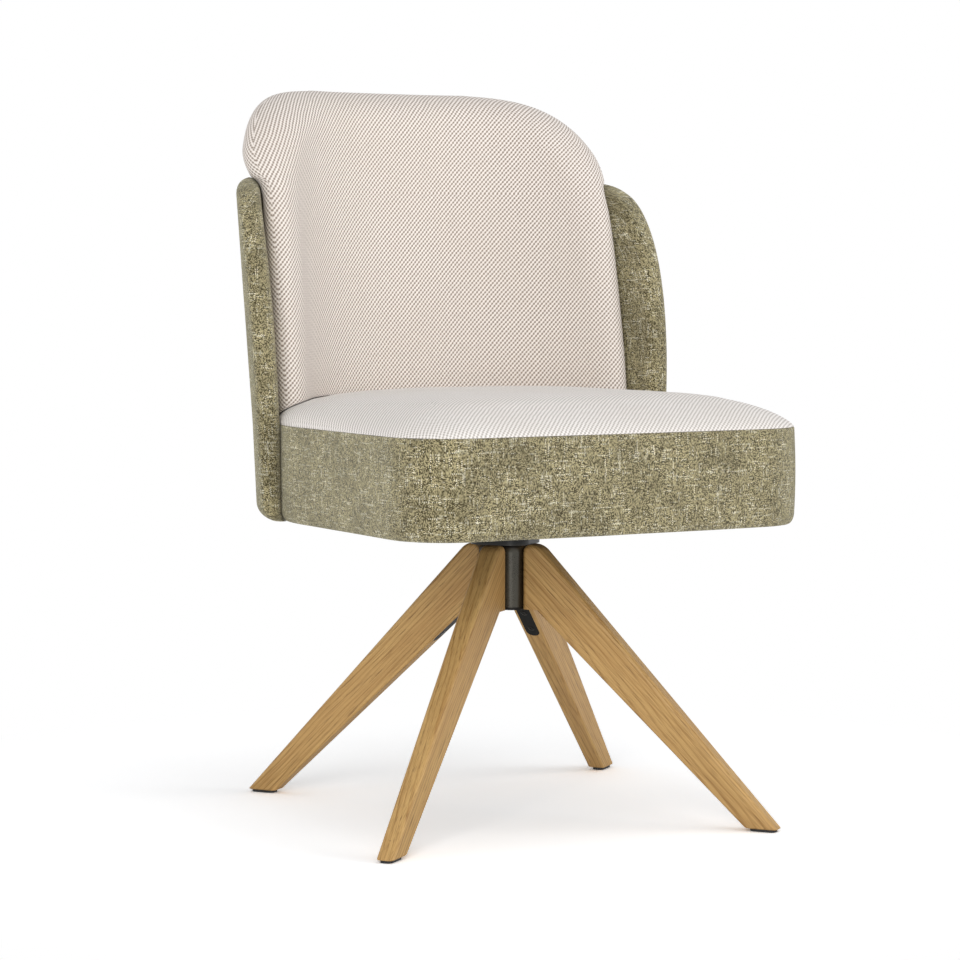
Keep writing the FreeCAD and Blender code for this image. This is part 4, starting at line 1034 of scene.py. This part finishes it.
# %% Oak grain
def make_oak_grain():
    graph, given, result = new_effect(
        "oak grain",
        [("Place", "vector", None), ("Pith Across", "value", 0.02), ("Pith Deep", "value", 0.05),
         ("Light", "colour", colour(205, 166, 104)), ("Dark", "colour", colour(148, 106, 52)),
         ("Pore", "colour", colour(112, 80, 42))],
        [("Colour", "colour"), ("Roughness", "value"), ("Height", "value")])

    def streaks(lengthwise, across, detail=2.0, roughness=0.5):
        """Noise that is drawn out along the leg."""
        stretched = graph.stretch(given["Place"], (lengthwise, across, across))
        return graph.noise(stretched, 1.0, detail, roughness)

    x, y, z = graph.split(given["Place"])
    off_y, off_z = y + given["Pith Across"] + x * 0.05, z + given["Pith Deep"]
    radius = graph.math("SQRT", off_y * off_y + off_z * off_z) + streaks(5.0, 26.0) * 0.010
    ring = graph.math("FRACT", radius / 0.0034)
    early = graph.ease(ring, 0.0, 0.12) * graph.ease(ring, 0.12, 0.5, 1.0, 0.0)
    fibre = streaks(16.0, 1050.0, 3.0, 0.6)
    pores = graph.ease(streaks(40.0, 1150.0, 1.0), 0.56, 0.68) * (early * 0.6 + 0.42)
    tone = early * 0.15 + fibre * 0.55 + streaks(5.0, 190.0) * 0.45
    shade = graph.mix(graph.ease(tone, 0.34, 0.86), given["Light"], given["Dark"])
    shade = graph.mix(pores * 0.85, shade, given["Pore"])
    patch = graph.ease(streaks(6.0, 40.0), 0.35, 0.7, 0.0, 0.30)
    shade = graph.mix(patch, shade, colour(190, 146, 88))
    graph.connect(result, Colour=shade, Roughness=fibre * 0.16 + 0.46, Height=fibre * 0.3 - pores)
    return graph.tree


oak_grain = make_oak_grain()
PITHS = ((0.013, 0.030), (0.034, 0.052), (0.022, 0.060), (0.040, 0.035))


def finish_leg(number, name):
    """Turn the leg's own direction onto X before the grain is laid in."""
    material, graph, shader = new_material("oiled oak, " + name.replace("_", " "), Coat_Weight=0.06,
                                           Coat_Roughness=0.35, Specular_IOR_Level=0.4)
    def rotate(vector, centre, angle, axis):
        inputs = {"Vector": vector, "Center": centre, "Angle": angle}
        return graph.signal("ShaderNodeVectorRotate", inputs, rotation_type=axis)

    upright = rotate(graph.place(), (0.0, AXIS_Y, 0.0), -leg_angle(number), "Z_AXIS")
    lip = (LIP[0] * MM, AXIS_Y, LIP[1] * MM)
    along = rotate(upright, lip, math.atan2(SLOPE[1], SLOPE[0]), "Y_AXIS")
    start = (0.31 * number, -AXIS_Y, -LIP[1] * MM)
    offset = graph.signal("ShaderNodeVectorMath", {0: along, 1: start}, operation="ADD")
    pith_across, pith_deep = PITHS[number]
    put_on(graph, shader, oak_grain, {"Place": offset, "Pith Across": pith_across,
                                      "Pith Deep": pith_deep}, 0.00009, 0.7)
    return material


def dress(name, material):
    """Give a solid part its finish in all of its material slots."""
    part = nodes[name]
    part.data.materials.clear()
    part.data.materials.append(material)


for number, name in enumerate(LEG_NAMES):
    dress(name, finish_leg(number, name))
print("oak grain:", len(oak_grain.nodes), "nodes")

# %% [markdown]
# ## Metal, plastic and the hidden parts
# Powder coat, turned steel, moulded plastic and raw boards share one effect: a fine mottling that
# changes tone and roughness from place to place. Each finish places it with its own scale. Layers are
# added for plywood, and turned parts get rings round their axis.

# %% Mottling, rings and layers
def make_mottling():
    graph, given, result = new_effect(
        "mottling",
        [("Place", "vector", None), ("Scale", "value", 900.0), ("Base", "colour", colour(60, 60, 60)),
         ("Worn", "colour", colour(90, 90, 90)), ("Roughness", "value", 0.45)],
        [("Colour", "colour"), ("Roughness", "value"), ("Height", "value")])
    fine = graph.noise(given["Place"], given["Scale"])
    share = fine * 0.5 + graph.noise(given["Place"], 38.0, 3.0) * 0.5
    shade = graph.mix(graph.ease(share, 0.35, 0.7), given["Base"], given["Worn"])
    graph.connect(result, Colour=shade, Roughness=given["Roughness"] + (share - 0.5) * 0.3, Height=fine)
    return graph.tree


mottling = make_mottling()


def finish_plain(name, base, worn, roughness, scale, depth, squash=None, **numbers):
    """A mottled finish between two colours; squash draws the mottling out into layers or rings."""
    material, graph, shader = new_material(name, **numbers)
    here = graph.place()
    if squash:
        here = graph.stretch(here, squash)
    put_on(graph, shader, mottling, {"Place": here, "Base": colour(*base), "Worn": colour(*worn),
                                     "Roughness": roughness, "Scale": scale}, depth, 0.6)
    return material


FINISHES = {
    "black_steel": finish_plain("satin black powder coat", (18, 17, 15), (28, 27, 24), 0.5, 1100.0,
                                0.00005, Specular_IOR_Level=0.2),
    "glide_plastic": finish_plain("black moulded plastic", (24, 24, 24), (36, 36, 36), 0.5, 1500.0,
                                  0.00004),
    "zinc_steel": finish_plain("zinc plated steel", (168, 168, 170), (198, 198, 200), 0.35, 700.0,
                               0.00002, Metallic=0.9),
    "turned_steel": finish_plain("turned steel", (150, 150, 152), (186, 186, 190), 0.3, 40.0, 0.00003,
                                 (1.0, 1.0, 60.0), Metallic=1.0),
    "bearing_steel": finish_plain("ground steel", (186, 186, 190), (214, 214, 218), 0.18, 400.0,
                                  0.00001, Metallic=1.0),
    "bronze": finish_plain("oiled bronze", (150, 106, 52), (190, 146, 84), 0.36, 1600.0, 0.00003,
                           Metallic=0.9),
    "cage_plastic": finish_plain("natural nylon", (214, 208, 188), (230, 226, 210), 0.5, 500.0, 0.00003),
    "dust_cloth": finish_plain("black bonded cloth", (26, 26, 26), (48, 48, 48), 0.9, 2200.0, 0.00010,
                               Specular_IOR_Level=0.2),
    "plywood": finish_plain("birch plywood", (204, 172, 124), (168, 128, 82), 0.6, 30.0, 0.00005,
                            (1.0, 1.0, 24.0)),
    "beech": finish_plain("beech", (206, 166, 120), (184, 140, 94), 0.55, 320.0, 0.00004),
    "pine": finish_plain("planed pine", (222, 186, 128), (196, 152, 92), 0.6, 24.0, 0.00004,
                         (1.0, 10.0, 22.0)),
    "foam": finish_plain("open foam", (232, 224, 190), (206, 196, 156), 0.9, 1300.0, 0.00030,
                         Specular_IOR_Level=0.1),
}
print("plain finishes:", ", ".join(sorted(FINISHES)))

# %% The hub has a satin finish of its own, with painted shade and painted shadow
def finish_hub():
    """Satin graphite with painted shade that darkens it where it turns away, and a painted shadow that makes its
    flared head nearly black.
    """
    material, graph, shader = new_material("satin graphite metal", Metallic=0.45, Specular_IOR_Level=0.6)
    here = graph.place()
    skin = put_on(graph, shader, mottling, {"Place": here, "Base": colour(62, 59, 50),
                                            "Worn": colour(80, 77, 67), "Roughness": 0.3,
                                            "Scale": 1300.0}, 0.00004, 0.6)
    # Painted shade: the colour darkens towards near black where the surface turns away from view.
    turned = graph.signal("ShaderNodeLayerWeight", {"Blend": 0.5}, "Facing")
    shade = graph.mix(graph.ease(turned, 0.06, 0.52), skin["Colour"], colour(26, 25, 22))
    # Painted shadow: above 0.3 m the flared head is coloured nearly black, standing in for the seat's shade.
    head = graph.ease(graph.split(here)[2], 0.296, 0.303)
    graph.connect(shader.inputs, Base_Color=graph.mix(head, shade, colour(6, 6, 6)))
    return material


hub_finish = finish_hub()
screw_finish = finish_plain("blackened screw steel", (34, 32, 29), (48, 46, 42), 0.34, 900.0, 0.00002,
                            Metallic=0.8)
for row in frame["record"]["subparts"]:
    slot = row["material_slot"]
    if slot in FINISHES:
        dress(row["node"], hub_finish if row["node"] == "hub_column" else FINISHES[slot])
tongue_screws.data.materials.append(screw_finish)

# %% [markdown]
# ## Floor, backdrop and light
# The chair stands in a white studio. The floor takes the chair's soft shadow near its feet and fades
# into the white of the world further out, so no horizon shows. It is whiter to the camera than to the
# light that it throws back at the chair. A large lamp from the front left, two weaker ones and an even
# sky light the cloth about as it is written.

# %% Floor that fades into white
def build_floor():
    radius, steps = 9.0, 96
    mesh = bpy.data.meshes.new("studio_floor")
    shares = (0.04, 0.1, 0.2, 0.4, 1.0)
    points = [point for share in shares for point in circle(radius * share, -0.0003, steps)]
    faces = loop_faces(len(shares), steps) + [list(range(steps))]
    mesh.from_pydata(points, [], faces)
    floor = bpy.data.objects.new("studio_floor", mesh)
    bpy.context.scene.collection.objects.link(floor)
    material, graph, shader = new_material("white studio floor")
    material.node_tree.nodes.remove(shader)
    seen = graph.signal("ShaderNodeLightPath", output="Is Camera Ray")
    white = seen * 0.66 + 0.93
    diffuse = graph.signal("ShaderNodeBsdfDiffuse", {"Color": graph.join(white, white, white)})
    glow = graph.signal("ShaderNodeEmission", {"Color": (1.0, 1.0, 1.0, 1.0), "Strength": 1.0})
    away = graph.signal("ShaderNodeVectorMath", {0: graph.place()}, "Value", operation="LENGTH")
    mixed = graph.signal("ShaderNodeMixShader", {0: graph.ease(away, 0.38, 0.80), 1: diffuse, 2: glow})
    graph.connect(material.node_tree.nodes["Material Output"].inputs, Surface=mixed)
    mesh.materials.append(material)
    return floor


build_floor()


# %% World and lamps
def build_world():
    world = bpy.data.worlds.new("studio")
    bpy.context.scene.world = world
    world.use_nodes = True
    graph = Graph(world.node_tree)
    world.node_tree.nodes.clear()
    path = graph.node("ShaderNodeLightPath").outputs
    seen = graph.math("MAXIMUM", path["Is Camera Ray"], path["Is Glossy Ray"])
    seen = graph.math("MAXIMUM", seen, path["Is Transmission Ray"])
    sky = graph.signal("ShaderNodeBackground", {"Color": (0.97, 0.98, 1.0, 1.0), "Strength": 0.53})
    white = graph.signal("ShaderNodeBackground", {"Color": (1.0, 1.0, 1.0, 1.0), "Strength": 1.0})
    mixed = graph.signal("ShaderNodeMixShader", {0: seen, 1: sky, 2: white})
    graph.connect(graph.node("ShaderNodeOutputWorld").inputs, Surface=mixed)


def add_lamp(name, place, size, power):
    light = bpy.data.lights.new(name, "AREA")
    light.shape = "SQUARE"
    light.size = size
    light.energy = power
    lamp = bpy.data.objects.new(name, light)
    lamp.location = place
    aim = Vector((0.0, 0.0, 0.45)) - Vector(place)
    lamp.rotation_euler = aim.to_track_quat("-Z", "Y").to_euler()
    bpy.context.scene.collection.objects.link(lamp)


build_world()
add_lamp("front_left_softbox", (-2.4, -2.9, 1.3), 2.2, 64.0)
add_lamp("right_softbox", (2.7, -2.0, 1.3), 2.0, 31.0)
add_lamp("seat_softbox", (0.1, -0.9, 2.8), 1.4, 7.0)
print("studio ready")

# %% [markdown]
# ## Camera
# The photograph was taken at eye level of a seated person, from the chair's front left, with a long
# lens. The numbers come from lining up the chair's outline with its picture.

# %% Camera
def build_camera():
    camera_data = bpy.data.cameras.new("camera")
    camera_data.sensor_width = 36.0
    camera_data.sensor_fit = "HORIZONTAL"
    camera_data.lens = 36.0 * 2895.3 / 960.0
    camera_data.clip_end = 100.0
    camera = bpy.data.objects.new("camera", camera_data)
    distance, turn = 3.197, math.radians(-30.0)
    camera.location = (distance * math.sin(turn), -distance * math.cos(turn) + AXIS_Y, 0.6009)
    heading, pitch = math.radians(-30.0 + 0.503), math.radians(4.138)
    ahead = math.cos(pitch)
    aim = Vector((-math.sin(heading) * ahead, math.cos(heading) * ahead, -math.sin(pitch)))
    camera.rotation_euler = aim.to_track_quat("-Z", "Y").to_euler()
    bpy.context.scene.collection.objects.link(camera)
    bpy.context.scene.camera = camera
    print("camera at", [round(value, 3) for value in camera.location])


build_camera()
bpy.context.scene.view_settings.view_transform = "Standard"

# %% [markdown]
# ## Last update
# The soft goods stand a little proud of the solid model, no more than fabric does.

# %% Update the view layer
bpy.context.view_layer.update()
